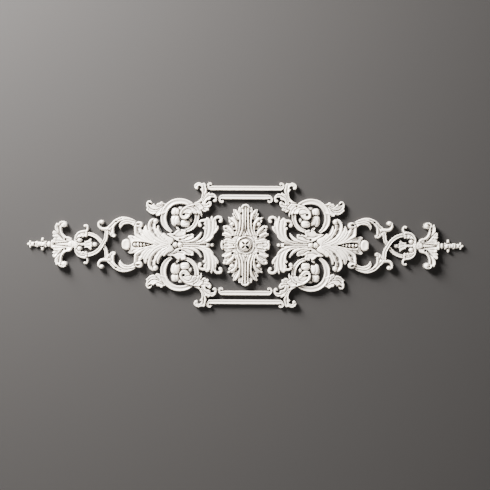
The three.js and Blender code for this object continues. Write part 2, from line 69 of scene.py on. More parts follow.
MM = 0.001
LENGTH = 1500.0                      # tip bead to tip bead, in millimetres
MODULE = LENGTH / 437.4              # the grid that the carving is drawn on, in millimetres
MIDDLE = LENGTH / 2 / MODULE         # the rosette's middle, in modules from an arm's tip
RAIL_WIDTH = 15.5
RAIL_DEPTH = 11.0
OUTER_RAIL_LENGTH = 263.4
INNER_RAIL_LENGTH = 183.5
OUTER_RAIL_RISE = 195.5
RAIL_PITCH = 30.5
CURVE_STEPS = 48                     # steps between two points of a path
NOTCH = 0.9                          # a half width this much below both neighbours is a notch
STEEP = 2.2                          # how much steeper the outline runs into a notch
THINNEST = 2.5                       # the least height of a form, in millimetres
FRINGE = 2.5                         # how far beyond its outline a form marks the grid, in millimetres
SOFT_EDGE = 1.5                      # over how many millimetres a form rises over what it covers
SEAM_AT, SEAM_REACH = 0.6, 1.7       # where a seam lies beside a form, and how far it reaches
BLEND, KNOB_BLEND, SWEEP_BLEND = 1.4, 0.8, 0.6      # how soft the line is where forms meet
DEEP_DISH = 4.0                      # a leaf dished deeper than this sinks what lies under it too
GROOVE_TAPER = 3.0                   # the length of a groove's run-out, in millimetres
GROOVE_FLOOR, EYE_FLOOR = 2.2, 2.0   # how low a groove and a drilled eye may cut
EDGE = 0.36                          # a rounded form's height at its edge, as a share
LEVEL = 0.25                         # the recess value of a level surface
RECESS_REACHES = ((2.5, 0.1), (9.0, 0.15))          # how far round it looks, and its rise for a millimetre
SNAP = 0.35                          # how near the outline a grid point is moved onto it, in cells
RENDER_PIXELS = 490
SENSOR = 36.0                        # the camera's sensor, in millimetres

Pair = tuple[float, float]
Triple = tuple[float, float, float]
Colour = tuple[float, float, float, float]
Area = tuple[slice, slice]
Table = float | Sequence[Pair]


# curves and tables


def slopes(places: np.ndarray, values: np.ndarray, cusps: bool) -> tuple[np.ndarray, np.ndarray]:
    """The slopes of a smooth curve through a table, at the start and at the end of each interval.

    Args:
        places: The table's places, rising.
        values: The table's values.
        cusps: Whether a low point is a sharp notch between two round lobes.

    Returns:
        The slopes at each interval's start and at its end.
    """
    rise = np.diff(values) / np.diff(places)
    inner = np.zeros(len(values))
    both = rise[:-1] * rise[1:] > 0
    inner[1:-1][both] = 2 * rise[:-1][both] * rise[1:][both] / (rise[:-1] + rise[1:])[both]
    inner[0], inner[-1] = rise[0], rise[-1]
    starts, ends = inner[:-1].copy(), inner[1:].copy()
    if cusps:
        for k in range(1, len(values) - 1):
            if values[k] < NOTCH * min(values[k - 1], values[k + 1]):
                starts[k], ends[k - 1] = STEEP * rise[k], STEEP * rise[k - 1]
    return starts, ends


def read(table: Table, at: np.ndarray, cusps: bool = False) -> np.ndarray:
    """A smooth value from a table of (place, value) pairs.

    Args:
        table: The pairs, or one number that holds everywhere.
        at: The places to read.
        cusps: Whether low points are sharp notches.

    Returns:
        The value at each place.
    """
    if isinstance(table, (int, float)):
        return np.full_like(at, float(table))
    places, values = np.array([p for p, _ in table], float), np.array([v for _, v in table], float)
    starts, ends = slopes(places, values, cusps)
    k = np.clip(np.searchsorted(places, at, side="right") - 1, 0, len(places) - 2)
    step = (places[1:] - places[:-1])[k]
    s = np.clip((at - places[k]) / step, 0, 1)
    return (values[k] * (1 + 2 * s) * (1 - s) ** 2 + values[k + 1] * s * s * (3 - 2 * s)
            + step * s * (1 - s) * (starts[k] * (1 - s) - ends[k] * s))


def soft_step(share: np.ndarray) -> np.ndarray:
    """A soft step from 0 to 1, as the share goes from 0 to 1."""
    s = np.clip(share, 0, 1)
    return s * s * (3 - 2 * s)


def dome(fall: np.ndarray) -> np.ndarray:
    """A rounded height as a share, from 1 in the middle of a form down to its edge, where the fall is 1."""
    return EDGE + (1 - EDGE) * np.sqrt(np.clip(1 - fall, 0, 1))


def smooth_line(path: Sequence[Pair], spacing: float) -> np.ndarray:
    """Evenly spaced points on a centripetal Catmull-Rom curve.

    Args:
        path: The points that the curve passes through, in modules.
        spacing: The distance between the points, in millimetres.

    Returns:
        The points in millimetres, one row each.
    """
    p = np.array(path, float) * MODULE
    p = p[np.r_[True, np.linalg.norm(np.diff(p, axis=0), axis=1) > 1e-6]]
    p = np.vstack([2 * p[0] - p[1], p, 2 * p[-1] - p[-2]])
    gaps = np.linalg.norm(np.diff(p, axis=0), axis=1) ** 0.5
    s = np.linspace(0, 1, CURVE_STEPS, endpoint=False)[:, None]
    runs = []
    for k in range(1, len(p) - 2):
        d0, d1, d2 = gaps[k - 1], gaps[k], gaps[k + 1]
        m1 = ((p[k] - p[k - 1]) / d0 - (p[k + 1] - p[k - 1]) / (d0 + d1) + (p[k + 1] - p[k]) / d1) * d1
        m2 = ((p[k + 1] - p[k]) / d1 - (p[k + 2] - p[k]) / (d1 + d2) + (p[k + 2] - p[k + 1]) / d2) * d1
        runs.append(p[k] + m1 * s + (3 * (p[k + 1] - p[k]) - 2 * m1 - m2) * s ** 2
                    + (m1 + m2 - 2 * (p[k + 1] - p[k])) * s ** 3)
    dense = np.vstack([*runs, p[-2][None]])
    length = np.concatenate([[0], np.cumsum(np.linalg.norm(np.diff(dense, axis=0), axis=1))])
    at = np.linspace(0, length[-1], max(8, int(length[-1] / spacing)))
    return np.stack([np.interp(at, length, dense[:, i]) for i in (0, 1)], axis=1)


# the forms of the carving


class Section(Enum):
    """Cross-sections, from the middle of a form to its edge: (across, height) as shares."""

    ROUND = ((0, 1), (0.35, 0.95), (0.6, 0.83), (0.8, 0.64), (0.93, 0.42), (1, 0.28))
    ROLLED = ((0, 0.56), (0.25, 0.56), (0.48, 0.72), (0.7, 1), (0.86, 0.94), (0.95, 0.66), (1, 0.36))
    HOLLOW = ((0, 0.8), (0.25, 0.81), (0.5, 0.93), (0.68, 1), (0.84, 0.9), (0.94, 0.62), (1, 0.36))
    CHANNEL = ((0, 0.58), (0.2, 0.6), (0.4, 0.88), (0.6, 1), (0.8, 0.9), (0.93, 0.6), (1, 0.36))
    FLAT = ((0, 1), (0.5, 0.98), (0.75, 0.88), (0.9, 0.66), (1, 0.36))


@dataclass(frozen=True)
class Blade:
    """A carved form that follows a curve: a leaf, a strap, a stem or a curl.

    Places are in modules, depths in millimetres. The half widths are given along the curve.
    """

    path: Sequence[Pair]
    half: Table
    depth: Table
    seam: float = 0.0
    blend: float = BLEND
    section: Section = Section.ROUND


@dataclass(frozen=True)
class Leaf:
    """A carved form with a drawn outline, a rolled rim and a dished surface.

    The outline is a closed chain of smooth runs, anticlockwise or clockwise. Each run starts in a notch and
    ends where the next one starts. The depth follows the way from start to end, or the distance from start.
    """

    outline: Sequence[Sequence[Pair]]
    depth: Table
    start: Pair = (0.0, 0.0)
    end: Pair = (1.0, 0.0)
    radial: bool = False
    rim: float = 3.2
    dish: float = 2.0
    seam: float = 0.0


@dataclass(frozen=True)
class Line:
    """A soft groove along a curve, or a raised rib where its depth is below nought."""

    path: Sequence[Pair]
    width: Table
    depth: Table


@dataclass(frozen=True)
class Knob:
    """A raised bead, ball or petal, round or oval, with a dark line cut round it where seam is set."""

    at: Pair
    size: Pair
    depth: float
    seam: float = 0.0
    square: float = 2.0
    turn: float = 0.0


@dataclass(frozen=True)
class Eye:
    """A drilled hollow, round or long, with soft edges."""

    at: Pair
    size: Pair
    depth: float
    turn: float = 0.0


Form = Blade | Leaf | Line | Knob | Eye


@dataclass(frozen=True)
class Trace:
    """Where the places near a curve lie: along it from 0 to 1, and how far across it."""

    at: Area
    shape: tuple[int, int]
    t: np.ndarray
    across: np.ndarray
    length: float


def nearest_of(line: np.ndarray, spots: np.ndarray) -> np.ndarray:
    """The number of the point on a line that is nearest to each spot."""
    own = (line ** 2).sum(axis=1)[None]
    return np.concatenate([np.argmin(own - 2 * part @ line.T, axis=1)
                           for part in np.array_split(spots, max(1, len(spots) // 6000))])


@dataclass
class Relief:
    """A grid of heights over a casting's plan, in millimetres.

    Args:
        low: The plan's lowest corner, in modules.
        high: Its highest corner, in modules.
        pitch: The grid's spacing, in millimetres.
    """

    low: Pair
    high: Pair
    pitch: float
    x: np.ndarray = field(init=False)
    z: np.ndarray = field(init=False)
    cover: np.ndarray = field(init=False)
    height: np.ndarray = field(init=False)

    def __post_init__(self) -> None:
        """Lays out the empty grid. A place on an axis of symmetry falls on a line of the grid."""
        spans = []
        for start, end in zip(self.low, self.high):
            first, last = (math.floor(start * MODULE / self.pitch), math.ceil(end * MODULE / self.pitch))
            spans.append(np.arange(first, last + 1) * self.pitch)
        self.x, self.z = spans
        self.cover = np.full((len(self.x), len(self.z)), -99.0)
        self.height = np.zeros_like(self.cover)

    def window(self, low: np.ndarray, high: np.ndarray) -> tuple[Area, np.ndarray, np.ndarray]:
        """The part of the grid between two corners in millimetres, and its places in x and in z."""
        a = np.searchsorted(self.x, [low[0], high[0]])
        b = np.searchsorted(self.z, [low[1], high[1]])
        at = slice(a[0], a[1]), slice(b[0], b[1])
        gx, gz = np.meshgrid(self.x[at[0]], self.z[at[1]], indexing="ij")
        return at, gx, gz

    def raise_to(self, at: Area, cover: np.ndarray, height: np.ndarray, seam: float,
                 blend: float, replaced: np.ndarray | float = 0.0) -> None:
        """Raises the grid to a form, with a soft meeting line, or a dark seam beside the form.

        Args:
            at: The part of the grid that the form can touch.
            cover: How far each place lies inside the form's outline, in millimetres.
            height: The form's own height there.
            seam: How deep the line beside the form is cut, in millimetres.
            blend: How soft the meeting line is, in millimetres.
            replaced: Where the form takes the place of what it covers even if it is lower, as a share.
        """
        height = np.maximum(height, THINNEST)
        was, had = self.height[at], self.cover[at]
        if seam:
            beside = np.clip(1 - np.abs(cover + SEAM_AT) / SEAM_REACH, 0, 1)
            was = np.where(had > 0, np.maximum(was - seam * beside, THINNEST), was)
        h = np.clip(0.5 + 0.5 * (height - was) / blend, 0, 1)
        highest = np.maximum(was + (height - was) * h + blend * h * (1 - h), was)
        over = was + (highest + (height - highest) * replaced - was) * soft_step(0.5 + cover / SOFT_EDGE)
        new = np.where(had > 0, over, np.where(cover > had, height, was))
        near = cover > -FRINGE
        self.height[at] = np.where(near, new, was)
        self.cover[at] = np.where(near, np.maximum(cover, had), had)

    def trace(self, path: Sequence[Pair], half: Table) -> Trace | None:
        """Finds where each place near a curve lies along it and across it.

        Args:
            path: The curve's points, in modules.
            half: The half widths that the window has to hold.

        Returns:
            What was found, or None where the curve lies outside the grid.
        """
        line = smooth_line(path, self.pitch * 0.6)
        length = float(np.linalg.norm(np.diff(line, axis=0), axis=1).sum())
        ahead = np.gradient(line, axis=0)
        ahead /= np.linalg.norm(ahead, axis=1)[:, None]
        reach = read(half, np.linspace(0, 1, len(line)), True).max() * MODULE + 3
        at, gx, gz = self.window(line.min(axis=0) - reach, line.max(axis=0) + reach)
        if not gx.size:
            return None
        spots = np.stack([gx.ravel(), gz.ravel()], axis=1)
        nearest = nearest_of(line, spots)
        gap = spots - line[nearest]
        along = (gap * ahead[nearest]).sum(axis=1)
        side = gap[:, 1] * ahead[nearest, 0] - gap[:, 0] * ahead[nearest, 1]
        raw = nearest / (len(line) - 1) + along / length
        t = np.clip(raw, 0, 1)
        return Trace(at, gx.shape, t, np.hypot(side, (raw - t) * length), length)

    def lay(self, blade: Blade) -> None:
        """Raises the grid to a blade."""
        found = self.trace(blade.path, blade.half)
        if found is None:
            return
        halves = read(blade.half, found.t, True) * MODULE
        share = np.clip(found.across / np.maximum(halves, 0.3), 0, 1)
        height = read(blade.depth, found.t) * read(blade.section.value, share)
        self.raise_to(found.at, (halves - found.across).reshape(found.shape), height.reshape(found.shape),
                      blade.seam, blade.blend)

    def lay_leaf(self, leaf: Leaf) -> None:
        """Raises the grid to a leaf."""
        closed = [*leaf.outline, leaf.outline[0]]
        line = np.vstack([smooth_line([*run, after[0]], self.pitch * 0.6)[:-1]
                          for run, after in zip(leaf.outline, closed[1:])])
        at, gx, gz = self.window(line.min(axis=0) - 3, line.max(axis=0) + 3)
        spots = np.stack([gx.ravel(), gz.ravel()], axis=1)
        away = np.linalg.norm(spots - line[nearest_of(line, spots)], axis=1).reshape(gx.shape)
        after = np.roll(line, -1, axis=0)
        inside = np.zeros(gx.shape, dtype=bool)
        for i, x in enumerate(self.x[at[0]]):
            crossed = (line[:, 0] <= x) != (after[:, 0] <= x)
            a, b = line[crossed], after[crossed]
            levels = np.sort(a[:, 1] + (x - a[:, 0]) / (b[:, 0] - a[:, 0]) * (b[:, 1] - a[:, 1]))
            inside[i] = np.searchsorted(levels, self.z[at[1]]) % 2 == 1
        cover = np.where(inside, away, -away)
        start, way = np.array(leaf.start) * MODULE, (np.array(leaf.end) - leaf.start) * MODULE
        if leaf.radial:
            t = np.hypot(gx - start[0], gz - start[1]) / np.hypot(*way)
        else:
            t = ((gx - start[0]) * way[0] + (gz - start[1]) * way[1]) / (way @ way)
        height = (read(leaf.depth, np.clip(t, 0, 1)) * dome(np.clip(1 - cover / leaf.rim, 0, 1) ** 2)
                  - leaf.dish * soft_step((cover - leaf.rim * 0.7) / (leaf.rim * 2.2)))
        replaced = np.clip(cover / leaf.rim - 0.5, 0, 1) if leaf.dish > DEEP_DISH else 0.0
        self.raise_to(at, cover, height, leaf.seam, BLEND, replaced)

    def score(self, line: Line) -> None:
        """Cuts a groove in the grid, or raises a rib."""
        found = self.trace(line.path, line.width)
        if found is None:
            return
        share = found.across / (read(line.width, found.t) * MODULE)
        profile = np.clip(1 - share ** 2, 0, 1) ** 2
        ends = np.clip(np.minimum(found.t, 1 - found.t) * found.length / GROOVE_TAPER + 0.25, 0, 1)
        change = (read(line.depth, found.t) * profile * ends).reshape(found.shape)
        self.height[found.at] = np.maximum(self.height[found.at] - change, GROOVE_FLOOR)

    def spots(self, form: Knob | Eye) -> tuple[Area, np.ndarray, float]:
        """How far each place is from an oval's middle, as a share of its size.

        Args:
            form: The knob or the eye.

        Returns:
            The part of the grid near it, the share there, and the oval's smaller size in millimetres.
        """
        middle, size = np.array(form.at) * MODULE, np.array(form.size) * MODULE
        reach = np.full(2, size.max() * 1.2 + 3)
        at, gx, gz = self.window(middle - reach, middle + reach)
        gx, gz = gx - middle[0], gz - middle[1]
        c, s = math.cos(math.radians(form.turn)), math.sin(math.radians(form.turn))
        power = form.square if isinstance(form, Knob) else 2.0
        share = (np.abs((gx * c + gz * s) / size[0]) ** power
                 + np.abs((gz * c - gx * s) / size[1]) ** power) ** (1 / power)
        return at, share, float(size.min())

    def set_knob(self, knob: Knob) -> None:
        """Raises the grid to a bead or petal."""
        at, share, size = self.spots(knob)
        self.raise_to(at, (1 - share) * size, knob.depth * dome(share ** 2.2), knob.seam, KNOB_BLEND)

    def drill(self, eye: Eye) -> None:
        """Sinks the grid at an eye."""
        at, share, size = self.spots(eye)
        soft = 0.9 / size
        sunk = eye.depth * soft_step((1 + soft - share) / (2 * soft))
        self.height[at] = np.maximum(self.height[at] - sunk, EYE_FLOOR)

    def add(self, forms: Iterable[Form]) -> None:
        """Lays forms in order, each one over those before it."""
        ways = {Blade: self.lay, Leaf: self.lay_leaf, Line: self.score, Knob: self.set_knob, Eye: self.drill}
        for form in forms:
            ways[type(form)](form)

    def press(self, sweep: bpy.types.Object, seam: float = 0.0) -> None:
        """Presses a finished mesh into the grid, by rays from the front, and removes the mesh.

        Args:
            sweep: The object to press, with its place in its mesh.
            seam: How deep the line beside it is cut, in millimetres.
        """
        mesh = sweep.data
        points = np.array([v.co for v in mesh.vertices]) / MM
        tree = BVHTree.FromPolygons([Vector(p) for p in points], [tuple(f.vertices) for f in mesh.polygons])
        at, gx, gz = self.window(points.min(axis=0)[[0, 2]] - 3, points.max(axis=0)[[0, 2]] + 3)
        height = np.full(gx.shape, -1.0)
        toward = Vector((0, 1, 0))
        for spot in np.ndindex(gx.shape):
            hit = tree.ray_cast(Vector((gx[spot], -100, gz[spot])), toward)[0]
            if hit is not None:
                height[spot] = -hit.y
        inside = height > 0
        near, passes, falloff = inside.astype(float), 3, 5.2
        for _ in range(passes):
            near = self.blurred(near)
        self.raise_to(at, (near - 0.5) * falloff, self.spread(height, inside, passes), seam, SWEEP_BLEND)
        bpy.data.objects.remove(sweep)

    @staticmethod
    def blurred(values: np.ndarray, step: int = 1) -> np.ndarray:
        """A grid averaged a little with its neighbours, or with those a few steps away."""
        wide = np.pad(values, step, mode="edge")
        rows = wide[:-2 * step] * 0.25 + wide[step:-step] * 0.5 + wide[2 * step:] * 0.25
        return rows[:, :-2 * step] * 0.25 + rows[:, step:-step] * 0.5 + rows[:, 2 * step:] * 0.25

    @staticmethod
    def spread(values: np.ndarray, known: np.ndarray, times: int) -> np.ndarray:
        """Carries the values at the edge of an area a few places outwards.

        Args:
            values: The grid.
            known: Where its values hold.
            times: How many places to go.

        Returns:
            The grid with its edge values carried outwards.
        """
        values, known = values.copy(), known.copy()
        for _ in range(times):
            total, count = np.zeros_like(values), np.zeros_like(values)
            for axis in (0, 1):
                for shift in (-1, 1):
                    total += np.roll(np.where(known, values, 0), shift, axis)
                    count += np.roll(known.astype(float), shift, axis)
            grown = ~known & (count > 0)
            values[grown] = total[grown] / count[grown]
            known |= grown
        return values

    def mirrored(self, axis: int) -> "Relief":
        """This grid and its mirror image in one, about the line where x or z is 0.

        Args:
            axis: 0 to mirror in x, 1 to mirror in z.

        Returns:
            The whole grid.
        """
        line = self.x if axis == 0 else self.z
        zero = int(np.argmin(np.abs(line)))
        keep, turned = [slice(None), slice(None)], [slice(None), slice(None)]
        keep[axis], turned[axis] = slice(zero, None), slice(None, 0, -1)
        whole = Relief(self.low, self.high, self.pitch)
        for name in ("cover", "height"):
            kept = getattr(self, name)[tuple(keep)]
            setattr(whole, name, np.concatenate([kept[tuple(turned)], kept], axis=axis))
        edge = line[zero:]
        both = np.concatenate([-edge[:0:-1], edge])
        whole.x, whole.z = (both, self.z) if axis == 0 else (self.x, both)
        return whole


# from a grid to a casting


def linked(name: str, data: bpy.types.ID) -> bpy.types.Object:
    """A new object in the scene."""
    made = bpy.data.objects.new(name, data)
    bpy.context.scene.collection.objects.link(made)
    return made


@dataclass
class Casting:
    """Makes one closed, flat-backed mesh of a relief grid.

    Args:
        node: The name of the solid that it takes the place of.
        relief: The grid of heights.
        shift: Where the grid's zero goes, in millimetres along X.
        turned: Whether the casting is turned half round in the plane of the wall.
    """

    node: str
    relief: Relief
    shift: float = 0.0
    turned: bool = False

    def build(self) -> bpy.types.Object:
        """Makes the casting's object, in metres.

        Returns:
            The object, at the origin, with its place in its mesh.
        """
        spots, height, faces = self.front()
        edges = self.rim(faces)
        count = len(spots)
        rim = np.unique(edges)
        back = np.full(count, -1)
        back[rim] = count + np.arange(len(rim))
        sign = -1.0 if self.turned else 1.0
        front = np.stack([spots[:, 0] + self.shift, -height, spots[:, 1]], axis=1)
        behind = np.stack([spots[rim, 0] + self.shift, np.zeros(len(rim)), spots[rim, 1]], axis=1)
        points = np.vstack([front, behind]) * [sign * MM, MM, sign * MM]
        walls = [(b, a, int(back[a]), int(back[b])) for a, b in edges]
        plate = [tuple(int(back[v]) for v in reversed(face)) for face in self.plate(spots, edges, rim)]
        name = f"finished_{self.node}"
        mesh = bpy.data.meshes.new(name)
        polygons = [tuple(face) for face in faces] + walls + plate
        mesh.from_pydata(points.tolist(), [], polygons)
        mesh.update()
        self.shade(mesh, len(faces), set(map(tuple, np.sort(edges, axis=1).tolist())))
        # the recess value, which the material turns into painted shade in hollows
        recess = mesh.attributes.new("recess", "FLOAT", "POINT")
        recess.data.foreach_set("value", np.concatenate([self.recess(spots, height),
                                                         np.full(len(rim), LEVEL)]).astype(np.float32))
        piece = linked(name, mesh)
        LOG.info("%s: %d faces", name, len(polygons))
        return piece

    def front(self) -> tuple[np.ndarray, np.ndarray, list[list[int]]]:
        """The front's mesh: whole cells inside, and cells cut along the outline.

        Returns:
            The points' places, their heights, and the faces.
        """
        cover, relief = self.relief.cover.copy(), self.relief
        gx, gz = np.meshgrid(relief.x, relief.z, indexing="ij")
        spots = np.stack([gx, gz], axis=-1)
        height = relief.height.copy()
        inside = cover > 0
        self.snap(spots, height, cover, inside)
        index = np.full(cover.shape, -1)
        index[inside] = np.arange(int(inside.sum()))
        points, heights = [spots[inside]], [height[inside]]
        count, crossing = int(inside.sum()), []
        for axis in (0, 1):
            a, b = [slice(None), slice(None)], [slice(None), slice(None)]
            a[axis], b[axis] = slice(None, -1), slice(1, None)
            a, b = tuple(a), tuple(b)
            cut = inside[a] != inside[b]
            zero = (cover[a] == 0) & inside[a] | (cover[b] == 0) & inside[b]
            made = np.full(cut.shape, -1)
            own = np.where(inside[a], index[a], index[b])
            made[cut & zero] = own[cut & zero]
            fresh = cut & ~zero
            share = np.clip(cover[a][fresh] / (cover[a][fresh] - cover[b][fresh]), 0.02, 0.98)[:, None]
            points.append(spots[a][fresh] * (1 - share) + spots[b][fresh] * share)
            ends = np.where(inside[a][fresh], height[a][fresh], height[b][fresh])
            heights.append(ends)
            made[fresh] = count + np.arange(int(fresh.sum()))
            count += int(fresh.sum())
            crossing.append(made)
        faces = self.cells(inside, index, crossing)
        return np.vstack(points), np.concatenate(heights), faces

    @staticmethod
    def snap(spots: np.ndarray, height: np.ndarray, cover: np.ndarray, inside: np.ndarray) -> None:
        """Moves the grid points that lie close to the outline onto it, so that no face is a sliver.

        Args:
            spots: The grid's places, changed here.
            height: The grid's heights.
            cover: How far each point is inside the outline; a moved point gets 0.
            inside: Which points are inside.
        """
        best = np.full(cover.shape, SNAP)
        moved = spots.copy()
        for axis in (0, 1):
            for shift in (1, -1):
                other_cover = np.roll(cover, -shift, axis)
                other = np.roll(spots, -shift, axis)
                share = cover / np.where(cover - other_cover == 0, 1, cover - other_cover)
                take = inside & (other_cover <= 0) & (share < best)
                best[take] = share[take]
                moved[take] = (spots + (other - spots) * share[..., None])[take]
        near = best < SNAP
        spots[near] = moved[near]
        cover[near] = 0

    @staticmethod
    def cells(inside: np.ndarray, index: np.ndarray, crossing: list[np.ndarray]) -> list[list[int]]:
        """The faces of all cells, from the pattern of corners that lie inside.

        Args:
            inside: Which grid points are inside.
            index: Their numbers.
            crossing: The numbers of the points where the outline crosses the grid, along x and along z.

        Returns:
            The faces, anticlockwise as seen from the front.
        """
        corner = [inside[:-1, :-1], inside[1:, :-1], inside[1:, 1:], inside[:-1, 1:]]
        number = [index[:-1, :-1], index[1:, :-1], index[1:, 1:], index[:-1, 1:]]
        middle = [crossing[0][:, :-1], crossing[1][1:, :], crossing[0][:, 1:], crossing[1][:-1, :]]
        code = sum(part.astype(int) << k for k, part in enumerate(corner))
        faces: list[list[int]] = []
        for pattern in range(1, 16):
            where = code == pattern
            if not where.any():
                continue
            for loop in outline_of(pattern):
                columns = [(number if kind == "c" else middle)[k][where] for kind, k in loop]
                rows = np.stack(columns, axis=1)
                if pattern == 15:
                    faces.extend(rows.tolist())
                    continue
                for row in rows.tolist():
                    kept = [v for i, v in enumerate(row) if v != row[i - 1]]
                    if len(set(kept)) >= 3:
                        faces.append(kept)
        return faces

    @staticmethod
    def rim(faces: list[list[int]]) -> np.ndarray:
        """The edges that belong to one face only, in that face's direction."""
        starts = np.array([a for face in faces for a in face])
        ends = np.array([b for face in faces for b in face[1:] + face[:1]])
        keys = np.minimum(starts, ends).astype(np.int64) * (int(starts.max()) + 2) + np.maximum(starts, ends)
        _, first, count = np.unique(keys, return_index=True, return_counts=True)
        once = first[count == 1]
        return np.stack([starts[once], ends[once]], axis=1)

    @staticmethod
    def plate(spots: np.ndarray, edges: np.ndarray, rim: np.ndarray) -> list[list[int]]:
        """The flat back, with as few faces as the outline allows.

        Args:
            spots: The front's places.
            edges: The outline's edges, with the casting on their left.
            rim: The outline's points.

        Returns:
            The faces by the front's numbers, anticlockwise as seen from the front.
        """
        local = {int(v): k for k, v in enumerate(rim)}
        lines = [(local[int(a)], local[int(b)]) for a, b in edges]
        result = delaunay_2d_cdt([Vector(spots[v]) for v in rim], lines, [], 0, 1e-7)
        corners, triangles, origins = result[0], result[2], result[3]
        old = {k: origin[0] for k, origin in enumerate(origins) if origin}
        owner: dict[tuple[int, int], int] = {}
        named = []
        for number, face in enumerate(triangles):
            turned = [old.get(v, -1) for v in face]
            a, b, c = (corners[v] for v in face)
            if (b - a).cross(c - a) < 0:
                turned.reverse()
            named.append(turned)
            for a, b in zip(turned, turned[1:] + turned[:1]):
                owner[(a, b)] = number
        barred = set(lines) | {(b, a) for a, b in lines}
        todo = [owner[line] for line in lines if line in owner]
        kept = set(todo)
        while todo:
            face = named[todo.pop()]
            for a, b in zip(face, face[1:] + face[:1]):
                other = owner.get((b, a))
                if (a, b) not in barred and other is not None and other not in kept:
                    kept.add(other)
                    todo.append(other)
        return [[int(rim[v]) for v in named[k]] for k in sorted(kept) if -1 not in named[k]]

    def recess(self, spots: np.ndarray, height: np.ndarray) -> np.ndarray:
        """How deep each point lies below what is round it, from 0 on a ridge to 1 in a hollow: the mask for
        the painted shade.

        Args:
            spots: The points' places.
            height: Their heights.

        Returns:
            One number for each point.
        """
        relief = self.relief
        solid = (relief.cover > 0).astype(float)
        i = np.clip(((spots[:, 0] - relief.x[0]) / relief.pitch).round().astype(int), 0, len(relief.x) - 1)
        j = np.clip(((spots[:, 1] - relief.z[0]) / relief.pitch).round().astype(int), 0, len(relief.z) - 1)
        below = np.zeros(len(spots))
        for reach, share in RECESS_REACHES:
            step = max(1, round(reach / relief.pitch / 2.5))
            level, weight = relief.height * solid, solid
            for _ in range(max(3, round(2 * (reach / relief.pitch / step) ** 2))):
                level, weight = relief.blurred(level, step), relief.blurred(weight, step)
            around = level / np.maximum(weight, 1e-3)
            below += (around[i, j] - height) * share
        return np.clip(LEVEL + below, 0, 1)

    @staticmethod
    def shade(mesh: bpy.types.Mesh, front: int, rim: set[tuple[int, int]]) -> None:
        """Shades the front and the sides smoothly, with a crisp line between them and round the back.

        Args:
            mesh: The casting's mesh.
            front: How many of its faces are the front.
            rim: The outline's edges.
        """
        mesh.polygons.foreach_set("use_smooth", np.ones(len(mesh.polygons), dtype=bool))
        pairs = np.empty(len(mesh.edges) * 2, dtype=np.int32)
        mesh.edges.foreach_get("vertices", pairs)
        pairs = np.sort(pairs.reshape(-1, 2), axis=1)
        last = max(max(pair) for pair in rim)
        crisp = np.array([tuple(pair) in rim for pair in pairs.tolist()])
        behind = (pairs[:, 0] > last) & (pairs[:, 1] > last)
        sharp = mesh.attributes.new("sharp_edge", "BOOLEAN", "EDGE")
        sharp.data.foreach_set("value", crisp | behind)


def outline_of(pattern: int) -> list[list[tuple[str, int]]]:
    """The loops of corners ("c") and crossings ("m") round the inside part of a cell.

    Args:
        pattern: Which corners are inside, one bit each, anticlockwise from the lowest.

    Returns:
        One loop for each separate part.
    """
    inside = [bool(pattern >> k & 1) for k in range(4)]
    if pattern in (5, 10):
        first = 0 if pattern == 5 else 1
        return [[("c", k), ("m", k), ("m", (k + 3) % 4)] for k in (first, first + 2)]
    loop: list[tuple[str, int]] = []
    for k in range(4):
        if inside[k]:
            loop.append(("c", k))
        if inside[k] != inside[(k + 1) % 4]:
            loop.append(("m", k))
    return [loop]


# node trees


class Wire:
    """A socket that takes part in sums. Operators add the Math nodes."""

    def __init__(self, tree: "Nodes", socket: bpy.types.NodeSocket) -> None:
        """Wraps a socket of a tree."""
        self.tree, self.socket = tree, socket

    def _math(self, operation: str, *parts: "Wire | float") -> "Wire":
        """Adds one Math node."""
        made = self.tree.node("ShaderNodeMath", {"operation": operation}, dict(enumerate(parts)))
        return Wire(self.tree, made.outputs[0])

    def __add__(self, other: "Wire | float") -> "Wire":
        """Sum."""
        return self._math("ADD", self, other)

    __radd__ = __add__

    def __sub__(self, other: "Wire | float") -> "Wire":
        """Difference."""
        return self._math("SUBTRACT", self, other)

    def __rsub__(self, other: "Wire | float") -> "Wire":
        """Difference, from a number."""
        return self._math("SUBTRACT", other, self)

    def __mul__(self, other: "Wire | float") -> "Wire":
        """Product."""
        return self._math("MULTIPLY", self, other)

    __rmul__ = __mul__

    def __abs__(self) -> "Wire":
        """Size without sign."""
        return self._math("ABSOLUTE", self)

    def clamped(self) -> "Wire":
        """The value kept between 0 and 1."""
        return Wire(self.tree, self.tree.node("ShaderNodeClamp", values={0: self}).outputs[0])


class Nodes:
    """A node tree built from a few short calls."""

    def __init__(self, tree: bpy.types.NodeTree) -> None:
        """Takes a tree to build."""
        self.nodes, self.links = tree.nodes, tree.links

    def node(self, kind: str, settings: dict[str, Any] | None = None,
             values: dict[str | int, Any] | None = None) -> bpy.types.Node:
        """Adds a node.

        Args:
            kind: The node's type. GeometryNode is left out before a geometry node's name.
            settings: Its properties.
            values: Its sockets, each with a value, or with the node, socket or Wire that feeds it.

        Returns:
            The node.
        """
        made = self.nodes.new(kind if kind.startswith("Shader") else "GeometryNode" + kind)
        for key, value in (settings or {}).items():
            setattr(made, key, value)
        for key, value in (values or {}).items():
            self.feed(made.inputs[key], value)
        return made

    def feed(self, socket: bpy.types.NodeSocket, value: Any) -> None:
        """Sets a socket to a value, or links it to a node's first output, a socket or a Wire."""
        if isinstance(value, Wire):
            value = value.socket
        if isinstance(value, bpy.types.Node):
            value = value.outputs[0]
        if isinstance(value, bpy.types.NodeSocket):
            self.links.new(value, socket)
        else:
            socket.default_value = value


